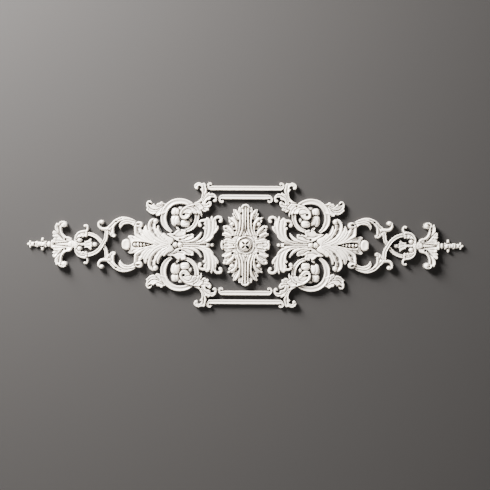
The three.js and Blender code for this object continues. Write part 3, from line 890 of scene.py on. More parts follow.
class Tree(Nodes):
    """A Geometry Nodes tree that grows a plain mesh from a curve."""

    def __init__(self, name: str, inputs: dict[str, tuple[str, float]]) -> None:
        """Starts a tree.

        Args:
            name: The tree's name.
            inputs: Its named sizes: the socket's type and its value.
        """
        self.group = bpy.data.node_groups.new(name, "GeometryNodeTree")
        super().__init__(self.group)
        sockets = self.group.interface
        sockets.new_socket("Geometry", in_out="OUTPUT", socket_type="NodeSocketGeometry")
        sockets.new_socket("Geometry", in_out="INPUT", socket_type="NodeSocketGeometry")
        self.ids: dict[str, str] = {}
        for label, (kind, value) in inputs.items():
            socket = sockets.new_socket(label, in_out="INPUT", socket_type=kind)
            socket.default_value = value
            self.ids[label] = socket.identifier
        self.entry = self.nodes.new("NodeGroupInput")
        self.exit = self.nodes.new("NodeGroupOutput")

    def size(self, label: str) -> Wire:
        """A named input."""
        return Wire(self, self.entry.outputs[label])

    def forward(self, geometry: bpy.types.Node, height: Wire) -> bpy.types.Node:
        """Moves points out from the wall by a height."""
        offset = self.node("ShaderNodeCombineXYZ", values={1: height * -1.0})
        return self.node("SetPosition", values={"Geometry": geometry, "Offset": offset})

    def close(self, geometry: bpy.types.Node, material: bpy.types.Material) -> None:
        """Ends the tree in Realize Instances and Set Material."""
        real = self.node("RealizeInstances", values={"Geometry": geometry})
        coloured = self.node("SetMaterial", values={"Geometry": real, "Material": material})
        self.feed(self.exit.inputs[0], coloured)

    def grow(self, name: str, source: bpy.types.ID, sizes: dict[str, float]) -> bpy.types.Object:
        """Runs the tree on a curve and bakes what comes out.

        Args:
            name: The new object's name.
            source: The curve that the tree starts from.
            sizes: Values for the tree's named inputs.

        Returns:
            A plain mesh object.
        """
        holder = linked(name + "_path", source)
        modifier = holder.modifiers.new("grow", "NODES")
        modifier.node_group = self.group
        for label, value in sizes.items():
            modifier[self.ids[label]] = value
        mesh = bpy.data.meshes.new_from_object(holder.evaluated_get(bpy.context.evaluated_depsgraph_get()))
        bpy.data.objects.remove(holder)
        return linked(name, mesh)


class Shader(Nodes):
    """A material's node tree with a Principled shader."""

    def __init__(self, name: str) -> None:
        """Starts a material."""
        self.material = bpy.data.materials.new(name)
        self.material.use_nodes = True
        super().__init__(self.material.node_tree)
        self.nodes.clear()
        self.output = self.nodes.new("ShaderNodeOutputMaterial")
        self.surface = self.nodes.new("ShaderNodeBsdfPrincipled")
        self.feed(self.output.inputs[0], self.surface)

    def finish(self, sizes: dict[str, Any]) -> None:
        """Feeds the Principled shader's sockets."""
        for name, value in sizes.items():
            self.feed(self.surface.inputs[name], value)

    def noise(self, place: bpy.types.NodeSocket, scale: float, detail: float) -> Wire:
        """A noise value."""
        made = self.node("ShaderNodeTexNoise", values={"Vector": place, "Scale": scale, "Detail": detail})
        return Wire(self, made.outputs[0])


def centre_line(name: str, points: Sequence[Pair], widths: Table) -> bpy.types.Curve:
    """A curve in the plane of the wall, with its half widths as radii.

    Args:
        name: The curve's name.
        points: The points that it passes through, in modules.
        widths: Its half widths in modules.

    Returns:
        The curve, in metres.
    """
    line = smooth_line(points, 1.2) * MM
    curve = bpy.data.curves.new(name, "CURVE")
    curve.dimensions = "3D"
    spline = curve.splines.new("POLY")
    spline.points.add(len(line) - 1)
    halves = read(widths, np.linspace(0, 1, len(line))) * MODULE * MM
    places = [line[:, 0], np.zeros(len(line)), line[:, 1], np.ones(len(line))]
    spline.points.foreach_set("co", np.column_stack(places).ravel())
    spline.points.foreach_set("radius", halves)
    return curve


@dataclass
class Strap:
    """A carved strap that follows a curve, grown by Geometry Nodes.

    Args:
        section: Its cross-section.
        material: Its finish.
        points: How many points its section has.
    """

    section: Section
    material: bpy.types.Material
    points: int = 33
    tree: Tree = field(init=False)

    def __post_init__(self) -> None:
        """Builds the tree: a flat ribbon as wide as the curve's radius, raised to the section."""
        tree = self.tree = Tree(f"strap_{self.section.name.lower()}", {"Depth": ("NodeSocketFloat", 0.014)})
        line = tree.node("CurvePrimitiveLine", values={"Start": (-1.0, 0.0, 0.0), "End": (1.0, 0.0, 0.0)})
        fine = tree.node("ResampleCurve", values={"Curve": line, "Count": self.points})
        place = tree.node("ShaderNodeSeparateXYZ", values={0: tree.node("InputPosition")})
        ruler = tree.node("StoreNamedAttribute", {"data_type": "FLOAT", "domain": "POINT"},
                          {"Geometry": fine, "Name": "across", "Value": place})
        upright = tree.node("ShaderNodeVectorMath", {"operation": "CROSS_PRODUCT"},
                            {0: tree.node("InputTangent"), 1: (0.0, 1.0, 0.0)})
        turned = tree.node("SetCurveNormal", {"mode": "FREE"}, {"Curve": tree.entry, "Normal": upright})
        ribbon = tree.node("CurveToMesh", values={"Curve": turned, "Profile Curve": ruler,
                                                  "Scale": tree.node("InputRadius")})
        across = tree.node("InputNamedAttribute", {"data_type": "FLOAT"}, {"Name": "across"})
        shape = tree.node("ShaderNodeFloatCurve", values={1: abs(Wire(tree, across.outputs[0]))})
        curve, (first, *inner, last) = shape.mapping.curves[0], self.section.value
        curve.points[0].location, curve.points[1].location = first, last
        for spot in inner:
            curve.points.new(*spot)
        shape.mapping.update()
        height = Wire(tree, shape.outputs[0]) * tree.size("Depth")
        tree.close(tree.forward(ribbon, height), self.material)

    def along(self, relief: Relief, path: Sequence[Pair], widths: Table, depth: float,
              seam: float = 0.0) -> None:
        """Carries the strap along a curve and presses it into a relief.

        Args:
            relief: The grid.
            path: The curve's points, in modules.
            widths: Its half widths, in modules.
            depth: Its depth, in millimetres.
            seam: How deep the line beside it is cut, in millimetres.
        """
        curve = centre_line("strap", path, widths)
        relief.press(self.tree.grow("strap", curve, {"Depth": depth * MM}), seam)


@dataclass
class Beads:
    """A row of round beads along a curve, grown by Geometry Nodes.

    Args:
        material: Their finish.
    """

    material: bpy.types.Material
    tree: Tree = field(init=False)

    def __post_init__(self) -> None:
        """Builds the tree: balls on the curve's points, each as large as the curve's radius there."""
        sizes = {"Count": ("NodeSocketInt", 3), "Base": ("NodeSocketFloat", 0.01)}
        tree = self.tree = Tree("bead_row", sizes)
        spaced = tree.node("ResampleCurve", values={"Curve": tree.entry, "Count": tree.size("Count")})
        ball = tree.node("MeshUVSphere", values={"Segments": 32, "Rings": 24, "Radius": 1.0})
        placed = tree.node("InstanceOnPoints", values={"Points": tree.forward(spaced, tree.size("Base")),
                                                       "Instance": ball, "Scale": tree.node("InputRadius")})
        tree.close(placed, self.material)

    def along(self, relief: Relief, path: Sequence[Pair], count: int, radii: Table, base: float) -> None:
        """Sets a row of beads on a relief.

        Args:
            relief: The grid.
            path: The row's curve, in modules.
            count: How many beads.
            radii: Their radii along the row, in modules.
            base: The depth at their middles, in millimetres.
        """
        curve = centre_line("beads", path, radii)
        relief.press(self.tree.grow("beads", curve, {"Count": count, "Base": base * MM}))


# the finish


@dataclass(frozen=True)
class PaintedPlaster:
    """White casting plaster with a thin coat of satin emulsion, and painted shade that darkens its recesses.

    Args:
        ridge: The colour of a level surface and of a ridge.
        recess: The colour of the painted shade in the deepest hollow.
        painted_shade: How fast the painted shade darkens with depth.
        clouds: How far the painted shade wavers.
        roughness: The roughness of a ridge.
        gloss: The level of its reflections.
        bump, bump_depth: The strength of the fine grain, and its depth in metres.
    """

    ridge: Colour = (0.78, 0.725, 0.648, 1.0)
    recess: Colour = (0.05, 0.044, 0.04, 1.0)
    painted_shade: float = 1.9
    clouds: float = 0.1
    roughness: float = 0.3
    gloss: float = 0.9
    bump: float = 0.22
    bump_depth: float = 0.0009

    def build(self, name: str) -> bpy.types.Material:
        """Makes the material.

        Args:
            name: The material's name.

        Returns:
            The material.
        """
        shader = Shader(name)
        place = shader.node("ShaderNodeTexCoord").outputs["Object"]
        depth = shader.node("ShaderNodeAttribute", {"attribute_name": "recess"})
        hollow = Wire(shader, depth.outputs["Fac"])
        cloud, grain = shader.noise(place, 14.0, 4.0), shader.noise(place, 420.0, 3.0)
        pits = shader.noise(place, 95.0, 2.0)
        # painted shade: the colour darkens from the ridge colour towards the recess colour the deeper a
        # point lies below what is round it
        painted_shade = ((hollow - LEVEL) * self.painted_shade + (cloud - 0.5) * self.clouds).clamped()
        colour = shader.node("ShaderNodeMix", {"data_type": "RGBA"},
                             {0: painted_shade, 6: self.ridge, 7: self.recess})
        bump = shader.node("ShaderNodeBump", values={"Strength": self.bump, "Distance": self.bump_depth,
                                                     "Height": grain * 0.25 + pits * 0.75})
        shader.finish({"Base Color": colour.outputs[2], "Specular IOR Level": self.gloss, "Normal": bump,
                       "Roughness": (painted_shade * 0.22 + grain * 0.12 + self.roughness).clamped()})
        return shader.material


# the scrollwork arm


@dataclass
class ScrollArm:
    """One scrollwork arm. Places are in modules from its tip, and its upper half is mirrored below.

    Args:
        strap: What the two crossing strands and the ring round the rose are grown with.
        beads: What the beads in the palmette's slot are grown with.
        pitch: The grid's spacing, in millimetres.
        leaf, volute, palmette, ring, strand, crossing, petal, tip, string, bead: Depths in millimetres.
    """

    strap: Strap
    beads: Beads
    pitch: float = 1.0
    leaf: float = 17.0
    volute: float = 21.0
    palmette: float = 24.0
    ring: float = 14.0
    strand: float = 14.0
    crossing: float = 18.0
    petal: float = 15.0
    tip: float = 12.0
    string: float = 10.0
    bead: float = 11.0

    def end_leaf(self) -> list[Form]:
        """The leaf that closes the arm towards its tip."""
        return [
            Leaf([
                [(24, -7.9), (23.8, -1.9), (24, 2.1), (24.4, 3.7), (25.6, 4.3)],
                [(27, 3.6), (26.3, 4.9), (27, 6.2)], [(28, 6.9), (26.3, 7.3), (25.7, 8.5)],
                [(26.4, 9.7), (25.6, 11.1), (26.3, 13.1), (27.6, 13.5)],
                [(29.8, 12.3), (28.2, 14.5), (28, 17.1), (28.8, 19.7), (30, 21.3)],
                [(31.5, 20.4), (32.3, 21.9), (34.5, 23.2), (37, 23.5), (39.3, 22.2), (40.4, 19.8),
                 (39.8, 17.6), (38, 17)],
                [(35.1, 16.8), (35, 15.2), (35.3, 12.7), (36.6, 10.2), (39, 8), (42.5, 7.2), (44.6, 5.8),
                 (45.3, 3.8)],
                [(45.6, -7.8)],
            ], depth=[(0, self.strand), (0.6, self.leaf), (1, self.volute)], start=(40, 0.2),
               end=(37, 23.2), rim=3.4, dish=2.6),
            Line([(26.4, 0.5), (31, 1), (36, 1.5), (42.4, 2.1)], 0.85, 8),
            Line([(27.4, 3.5), (31, 3.8), (36, 3.2), (41.4, 3)], 0.6, 3.5),
            Line([(27.6, 6.8), (31.6, 7)], 0.65, 9), Line([(26.2, 9.8), (28.4, 9.7)], 0.5, 5),
            Line([(29.6, 12.3), (31.6, 9.9), (34.6, 6.4), (37.4, 3.8)], [(0, 0.7), (0.5, 1.3), (1, 0.8)],
                 4.5),
            Line([(32, 19.2), (32.2, 16.2), (32.8, 12.2), (34.4, 8.2), (36.8, 5)], 1.5, 4),
            Knob((37.2, 20), (3.1, 3.1), self.volute, seam=5),
            Line([(33.2, 20.4), (35.2, 20.8), (36.8, 21.9)], 0.6, 7), Eye((38.5, 4.9), (1.15, 1.15), 14),
        ]

    def crescent(self) -> list[Form]:
        """The crescent leaf and its small volutes."""
        return [
            Leaf([
                [(49, -5.8), (48, 0.2), (47.6, 4.2), (48.5, 8.9), (51.2, 12.3), (55, 13.8), (58.8, 14),
                 (60.5, 11.9), (60.5, 9.1)],
                [(59.8, 7.1), (58.6, 7.2)], [(57.6, 7.9), (56.6, 7.2), (55.6, 7.1)],
                [(54.9, 7.8), (53.8, 7), (52.4, 7.1), (51, 6.5), (50.2, 4.9), (50.4, 2.9), (51.6, 1.3),
                 (53, 0.3)],
                [(55, -5.7)],
            ], depth=self.leaf, rim=2.8, dish=2.4),
            Line([(49, 3.7), (49.8, 7.6), (52.4, 10.5), (56, 11.5), (59, 10.7)], 0.8, 4),
            Line([(57.6, 7.8), (57, 9.1), (55.9, 10.1)], 0.5, 4),
            Line([(54.9, 7.7), (54, 8.9), (52.8, 9.4)], 0.5, 4),
            Blade([(59.4, 12.7), (60.7, 15.7), (60.2, 18.3), (58.8, 19.3)], [(0, 1.7), (0.3, 1.3), (1, 1)],
                  self.strand),
            Knob((58, 18.5), (1.35, 1.35), self.strand, seam=3),
            Knob((52.6, 4.2), (2.5, 2.4), self.leaf, seam=11),
            Leaf([
                [(51.5, -5.7), (51.5, 1.1), (55, 1.3), (58, 1.8)],
                [(57, 3.4), (59.6, 3.3), (62, 4.4), (63.8, 5.9)], [(64.2, 2.5), (65.6, 1.9), (65.6, -1.7)],
                [(65.6, -5.7)],
            ], depth=self.tip, rim=2.2, dish=1.2, seam=4),
            Line([(56.4, 1.9), (56.3, 0.1)], 0.45, 4), Line([(59, 1), (61.4, 1.3), (63.6, 2.1)], 0.5, 4),
            Line([(65.3, 2.1), (65.4, -2.3)], 0.45, 4),
        ]

    def big_leaf(self) -> list[Form]:
        """The big C-shaped leaf over the crossing."""
        return [
            Blade([(82, 15.6), (77.4, 15.4), (73.9, 16.2), (72, 18.8), (72.1, 21.6), (73.6, 23.2)],
                  [(0, 2.6), (0.3, 2), (0.7, 1.6), (1, 1.3)], [(0, self.leaf), (1, self.volute * 0.9)]),
            Knob((74.8, 22.3), (2.4, 2.3), self.volute * 0.9, seam=5),
            Leaf([
                [(78.8, 11.4), (78.8, 15), (80.6, 18), (83.6, 20.5), (86.4, 23.7), (90.8, 26.4),
                 (95.4, 27.8), (100, 27.6), (104.8, 26.1), (109.8, 22.9)],
                [(111, 19.6), (106, 23.1), (100.5, 24.1), (95.8, 24.1), (92.4, 22.8), (89.2, 20.1),
                 (87.4, 17.2), (87.1, 13.9), (87.3, 11.2)],
                [(87.3, 11.2), (89, 9.8), (88.8, 7.8), (86.6, 6.9), (84.4, 7.6), (82.9, 9.4)],
                [(82.3, 10), (81.5, 9), (80.6, 10.2)], [(80.3, 11.5)],
            ], depth=[(0, self.strand), (0.4, self.leaf), (1, self.strand)], start=(79, 12.4),
               end=(109, 24.5), rim=3, dish=2.6),
            Line([(80.2, 13), (83.2, 17.4), (86.6, 21), (90.6, 24.1), (95, 25.7)], 0.8, 4),
            Line([(82.4, 9.8), (83.8, 12.8), (85.3, 16.8)], 0.65, 5),
            Leaf([
                [(112, 21.6), (106.5, 23.6), (101, 24.5), (97, 24.3), (94.4, 22.9), (92.5, 20.8),
                 (92, 18.2), (93.3, 15.1)],
                [(93.3, 15.1), (94.6, 17.5), (96.4, 19.5), (99, 20.5), (102.3, 20.7), (105.3, 19.5),
                 (108, 16.9)],
                [(112, 16.6)],
            ], depth=[(0, self.tip), (0.3, self.leaf), (1, self.strand)], start=(93, 15.5), end=(109, 22.5),
               rim=2.6, dish=1.8, seam=9),
            Line([(94, 19.1), (96.4, 21.6), (100.4, 22.6), (105.6, 21.5)], 0.7, 3.5),
            Knob((86.7, 8.9), (1.9, 1.8), self.strand, seam=4), Eye((89.3, 23.1), (1.28, 0.88), 12, 25),
            Eye((80.1, 11.1), (0.81, 1.22), 9), Eye((82.3, 13.4), (0.8, 0.8), 4),
        ]

    def palmette_half(self) -> list[Form]:
        """Half of the palmette: two curled lobes with a plain tooth behind each."""
        return [
            Leaf([
                [(95.6, -7.5), (95.4, 0.5), (95.8, 2.9), (97, 4.5), (99, 5.4), (101, 5.4)],
                [(102.5, 4.9), (101.3, 6.3), (100.8, 8), (102.7, 9.3), (105, 9.3)],
                [(107.2, 8.5), (110, 13.1), (114.5, 15.6)],
                [(116.2, 15.3), (117.2, 18), (118.9, 19.8), (120, 18.4)], [(121.2, 14.6), (125, 15.6)],
                [(129.4, 16.2), (130.2, 18.5), (131.4, 19.7), (132.2, 18.4), (132.6, 15.7), (133.8, 12.8)],
                [(135.3, 11.1), (136.8, 11.9), (138.1, 11.5), (139.4, 10.1), (141.6, 8.5), (144, 7.5),
                 (146.4, 6.2), (147.3, 4.3), (146.4, 2.3)],
                [(144.2, 0.2), (146.4, -2.3), (145, -7.3), (123, -8.4)],
            ], depth=[(0, self.palmette), (0.5, self.palmette * 0.94), (1, self.tip)], start=(129, 0.6),
               end=(129, 26.6), radial=True, rim=4, dish=0, seam=7),
            Leaf([
                [(101.4, -7.5), (95.6, -5.5), (94.9, 0.5), (95.4, 3.3), (97.2, 5), (100.4, 5.5),
                 (102.4, 4.1), (103.4, 1.5)],
                [(103.6, -7.5)],
            ], depth=[(0, self.leaf * 1.15), (1, self.palmette * 0.8)], start=(95, 0.5), end=(107, 0.5),
               rim=5, dish=1.5, seam=2.5),
            Line([(105, 7.5), (107.6, 5.1), (112, 4.4)], 1.2, 3),
            Blade([(119, 18.6), (120, 15), (122.3, 10.4), (126.5, 5.2)], [(0, 0.9), (0.3, 1.9), (1, 1.1)],
                  [(0, self.tip), (1, self.palmette)], seam=1.5),
            Blade([(131.4, 18.5), (132.2, 15.1), (134.2, 10.9), (138, 6.7)], [(0, 0.8), (0.3, 1.7), (1, 1)],
                  [(0, self.tip), (1, self.palmette)], seam=1.5),
            Leaf([
                [(133, -0.1), (123.5, 1.6), (117, 3.7), (112, 6.2), (108.6, 8.5), (107.6, 10.3),
                 (107.3, 14.5), (107.3, 18.1), (108.3, 20.9), (110.5, 22.9), (113, 23.4), (115.5, 22.3),
                 (116.3, 19.8), (115.7, 17.6)],
                [(114.4, 16.2), (115.8, 13.2), (117.4, 9.8), (120.4, 6.2), (125, 3.2)],
            ], depth=[(0, self.leaf), (0.35, self.palmette * 0.95), (0.7, self.volute * 1.05),
                      (1, self.volute)], start=(131, 0.7), end=(111, 21.6), rim=5, dish=6.5, seam=3),
            Eye((111.8, 15.2), (1.9, 2.4), 1.6), Eye((114.2, 10.6), (2, 1.7), 1.6),
            Leaf([
                [(142, 0.3), (133, 2.9), (127.6, 5.9), (123.7, 10.2), (121.5, 15), (120.9, 19),
                 (121.8, 22.9), (124.1, 25.7), (126.8, 26.6), (129.5, 26.1), (131.2, 24.1), (130.8, 21.7)],
                [(129.5, 20), (129.9, 16.6), (131, 12.9), (133.2, 9.3), (136.4, 5.7), (141, 2.9)],
            ], depth=[(0, self.leaf), (0.35, self.palmette * 0.96), (0.7, self.volute * 1.05),
                      (1, self.volute)], start=(141, 0.7), end=(125, 25.6), rim=5, dish=7, seam=3),
            Eye((125.4, 19.6), (1.8, 2.6), 1.6), Eye((126.2, 13.4), (2, 2.2), 1.6),
            Eye((129.6, 9.2), (1.9, 1.7), 1.4), Knob((112.2, 19.9), (4, 3.3), self.volute * 1.1, seam=6),
            Knob((128.8, 23.4), (2.6, 2.6), self.volute * 1.1, seam=7),
            Eye((111.3, 20.4), (2.16, 1.08), 16), Line([(112.8, 16.6), (114.4, 16.3), (115.6, 17)], 0.6, 8),
            Eye((116.2, 16.4), (0.81, 1.89), 18), Eye((129.5, 18.3), (0.8, 2.16), 18),
            Line([(136, 11.1), (133.6, 8.1), (134.6, 4.7)], 0.5, 2),
        ]

    def rose(self) -> list[Form]:
        """The rose's petals inside the channelled ring."""
        return [
            Knob((154, 36.5), (3, 1.9), self.petal * 0.73, square=2.6),
            Knob((163.5, 25.2), (1.8, 2.9), self.petal * 0.73),
            Knob((148.4, 33.1), (4, 4), self.petal * 0.95, seam=8, square=2.7, turn=-12),
            Knob((148.6, 24.1), (4.6, 5.7), self.petal * 1.05, seam=9, square=2.6, turn=8),
            Knob((158.2, 21.3), (4.8, 3.9), self.petal * 1.05, seam=9, square=2.6, turn=-8),
            Line([(150.2, 36), (149, 32.6), (150, 29.8)], 0.9, 1.6),
            Line([(149.8, 28.6), (147.6, 24.6), (148.6, 19.6)], 1.1, 1.8),
            Line([(161.6, 22.8), (158, 21), (155.2, 21.6)], 0.9, 1.6),
            Line([(144.4, 29.3), (151, 29.2)], 0.55, 6), Line([(153.6, 25.8), (153.4, 19.2)], 0.65, 10),
            Eye((150.3, 19.5), (1.49, 1.08), 13),
        ]

    def folded_leaf(self) -> list[Form]:
        """The leaf that folds over the ring into the rose."""
        return [
            Leaf([
                [(173, 41.9), (167, 41.2), (161.8, 39.8), (157.4, 37.6), (154.3, 34.5), (153, 31),
                 (153.5, 27.8), (155.8, 25.6), (159.2, 25.6), (161.8, 27.3), (163.4, 29.8)],
                [(163.4, 31.2), (164.4, 30.2), (164.9, 31.6)],
                [(165.4, 32.9), (166.4, 31.4), (168.2, 31.1), (169.6, 30.9)],
                [(170.6, 32), (171.6, 30.7), (173, 30.4)],
                [(173.5, 31.9), (174, 29.9), (174.6, 27.9), (175.5, 30.5), (175, 33)],
                [(173.8, 34.9), (177, 36.9)],
            ], depth=[(0, self.leaf), (0.5, self.volute), (1, self.volute * 1.1)], start=(173, 38.9),
               end=(156, 31.8), rim=3, dish=2.4, seam=11),
            Line([(157, 30.1), (158.4, 31.5), (160.4, 31.2), (163, 30.6)], 0.6, 13),
            Line([(165.4, 32.8), (163.8, 35.2), (160.6, 35.9), (157.5, 34.1), (155.6, 30.8)], 0.85, 4),
            Line([(170.6, 31.9), (169, 35.3), (165, 37.6), (160.6, 38)], 0.8, 4.5),
            Line([(173.5, 32.5), (171.4, 36.3), (167.8, 39)], 0.7, 4.5), Eye((157, 30.3), (1.55, 1.22), 14),
            Eye((167.4, 38.9), (0.8, 1.22), 9),
        ]

    def corner_spray(self) -> list[Form]:
        """The spray at the ring's upper corner."""
        return [
            Leaf([
                [(163, 38.8), (167, 41.8), (171, 43.7), (173.6, 46.1), (175, 49.7), (175, 53.1),
                 (173.3, 55.6)],
                [(174.9, 56.7), (174.2, 58.3), (172.4, 59.1), (171.1, 58.1), (171.3, 56.2), (169.4, 55.4),
                 (167.6, 57), (167.4, 59.6), (169, 61.7), (172, 62.7), (175, 61.8), (177.6, 62.1),
                 (178.9, 60.6), (179.2, 57.9), (180, 55.5), (179.8, 53.1)],
                [(178.9, 51.6), (180.2, 51.3), (181.8, 52.7), (183.2, 51.9)],
                [(183.6, 51.2), (185.8, 51.7), (188.6, 50.2), (190.1, 47.4), (190, 44.1), (188.3, 42.7),
                 (186.3, 43.4), (186.1, 45), (188, 45.6), (187.7, 47), (186, 47.8), (184.2, 47.5)],
                [(184, 46.3), (182.6, 44.9), (180.4, 44.6), (179.2, 43.1)],
                [(179, 41.1), (181.4, 43), (183.4, 43.9), (184.9, 42.2), (184.5, 39.8), (183, 38)],
                [(181.3, 37.3), (182.4, 35.9), (181.6, 34.4)],
                [(179.9, 34.1), (178.6, 32.9), (176.6, 33.2)], [(175.3, 34.4), (173, 34.9), (168, 35.8)],
            ], depth=[(0, self.leaf), (0.5, self.leaf), (1, self.strand)], start=(171, 38.9),
               end=(181, 60.9), radial=True, rim=2.8, dish=2),
            Line([(178.9, 51.6), (177.6, 48.3), (174.8, 43.9)], 0.7, 5),
            Line([(176.9, 59.1), (177.3, 54.3), (176.2, 48.7), (173.2, 43.9)], 0.8, 4),
            Line([(187.2, 49.1), (183, 49.3), (178.6, 46.7), (175.8, 42.7)], 0.75, 4),
            Line([(183.4, 40.9), (179, 39.5), (174, 39.7), (169, 38.4)], 0.75, 4),
            Line([(181.4, 37.2), (178, 37.1), (173.4, 37.7)], 0.6, 4.5),
            Line([(179.8, 34.3), (177.2, 35.5), (173, 36.1)], 0.6, 4.5),
            Knob((169.7, 57.1), (1.7, 1.7), self.strand * 1.15, seam=2),
            Knob((188, 44.3), (1.9, 1.6), self.strand * 1.15, seam=2),
            Knob((183.2, 41.8), (1.7, 1.9), self.leaf, seam=1.5), Eye((174.4, 42.5), (1.01, 1.01), 11),
        ]

    def outer_leaf(self) -> list[Form]:
        """The leaf on the ring's outer side, a horn whose tip hooks upwards."""
        return [
            Leaf([
                [(119.1, 35), (120, 36.3), (119.3, 38.8), (119.4, 41.6), (120.9, 43.7), (122.8, 44.1),
                 (124.5, 43.1), (125.1, 41.3)],
                [(125.3, 40.3), (126.5, 41), (127.8, 39.8), (129.2, 39.4)],
                [(129.3, 39.7), (130.5, 41.5), (132.9, 41.9), (134.2, 43.2), (135.8, 42.7), (137, 41.4),
                 (140, 41.2)],
                [(143, 38.7), (140, 32.7), (135, 30.5)],
                [(134, 30.4), (132.4, 29.2), (130.4, 28.6), (129.2, 29.4)],
                [(128.8, 30.8), (126, 30.3), (123.2, 31.2), (120.8, 33.3)],
            ], depth=[(0, self.ring * 0.8), (0.35, self.leaf), (1, self.tip)], start=(141, 37.7),
               end=(120, 39.6), rim=2.8, dish=2.2),
            Line([(128.6, 39.2), (131.6, 38.1), (134.6, 39.3), (137.6, 40.5)], 0.6, 8),
            Line([(121.6, 38.6), (124.4, 35.7), (129, 34.8), (133.6, 36.8), (137.4, 39.5)], 0.9, 5),
            Line([(128.8, 30.8), (130.4, 32.9), (133.6, 35.5)], 0.65, 5),
            Line([(120.8, 35.8), (124.4, 33), (129, 32.8), (133, 35.3)], 0.65, 3),
            Eye((123.3, 40.9), (2.29, 1.01), 16, -28),
        ]

    def husk_leaves(self) -> list[Form]:
        """The leaves that spring from the husk."""
        fold = [(0, 0.9), (0.5, 1.7), (1, 0.9)]
        return [
            Leaf([
                [(139, 10.9), (143, 11.5), (146.8, 11.6), (149, 13.6), (151.4, 15.2), (154.4, 15.5),
                 (157, 15), (159.1, 14.6), (159.3, 12.2)],
                [(158.2, 9.9), (160, 9.9), (161.8, 10.6)],
                [(163.4, 10.2), (165, 11), (166.9, 10.5), (167.2, 8.6)],
                [(166.6, 6.5), (163, 4.4), (159, 2.9), (155, 2.5), (151, 3.5), (148.4, 4.7), (146.6, 6.1),
                 (143.4, 8.1)],
            ], depth=self.leaf, rim=3.4, dish=2.4, seam=4),
            Line([(153.8, 5), (157.5, 6), (161, 8.4), (165, 9.2)], 1.1, 5),
            Line([(156.4, 3.8), (162, 4.4), (166, 6.4)], 0.8, 5),
            Line([(146, 9.7), (151, 7.9), (157.5, 8.9)], 1.3, 3), Eye((153.5, 14.7), (0.88, 1.42), 14),
            Eye((153.4, 5.4), (1.28, 1.15), 14),
            Blade([(154, 2.4), (161, 3.1), (167, 4.4), (171, 7.1), (173.4, 10.1), (174.3, 11.9)],
                  [(0, 0.7), (0.3, 1.2), (0.6, 2), (0.85, 1.7), (1, 1.2)],
                  [(0, self.tip), (0.6, self.leaf), (1, self.tip)], seam=5),
            Leaf([
                [(161, 0.6), (171, 1.5), (177, 1.8), (181.4, 2.9), (184, 4.7), (186.2, 7.2), (187.3, 9.9)],
                [(187.3, 10.1), (189.4, 12.3), (191.4, 14.8), (192.2, 17.1), (191.7, 19.1)],
                [(190.1, 19.2), (190, 21.3), (189.4, 23.9), (189.8, 25.6), (191.5, 26.4), (193, 25.4),
                 (191.9, 23.7), (192.4, 22.2), (194.2, 22), (195.9, 23.7), (196.1, 26.4), (194.9, 28.5),
                 (192.4, 29.4), (189.8, 29.2), (187.8, 27.9)],
                [(186.8, 26.6), (186, 28.1), (185, 29.2), (184, 28)],
                [(183.4, 25.4), (181.8, 27.1), (179.8, 27.6), (178.6, 26.2), (175.4, 25.7), (172.8, 24.5),
                 (171.3, 21.9), (171.2, 19.5), (172.6, 17.7), (174.4, 17.9), (175.4, 19.6), (174.9, 21.3),
                 (173.9, 22.1), (175.4, 22.9), (177.7, 22.6)],
                [(177.7, 22.6), (176.8, 21.1), (177.7, 19.6)],
                [(178.5, 18.7), (176.6, 17.7), (175.9, 16.6), (176.8, 15.4)],
                [(177.5, 15), (177.6, 11.9), (176.8, 8.5), (174.8, 6), (171, 3.9), (163, 2.4)],
            ], depth=[(0, self.tip), (0.4, self.leaf * 1.1), (0.8, self.volute), (1, self.leaf)],
               start=(163, 1.8), end=(187, 26.9), rim=3.8, dish=1.5, seam=5),
            Line([(184.2, 26.1), (184.7, 20.9), (184.8, 14.9), (183, 8.9), (178.6, 3.9)],
                 [(0, 0.9), (0.5, 1.8), (1, 0.9)], [(0, 5), (0.4, 2.8), (1, 1.4)]),
            Line([(180.4, 23.9), (180.8, 18.9), (180.4, 12.9), (178.4, 7.5), (175, 3.9)], fold,
                 [(0, 2), (0.5, 2.2), (1, 1.4)]),
            Line([(188, 25.5), (188.4, 20.9), (188, 15.3), (186.2, 10.5), (182.6, 5.9)], fold,
                 [(0, 3), (0.5, 2.4), (1, 1.4)]),
            Line([(178.4, 18.7), (179.2, 16.5)], 0.6, 5), Line([(190.2, 19), (189.4, 16.5)], 0.6, 5),
            Line([(185.9, 27.9), (186.4, 24.3)], 0.5, 3),
            Line([(161, 1.8), (169, 2.2), (175, 3.3), (179.2, 5.1)], 0.55, 4),
            Knob((193.7, 23.8), (2, 1.9), self.leaf, seam=2.5),
            Knob((173.3, 19.5), (1.95, 1.9), self.tip * 1.15, seam=3),
        ]

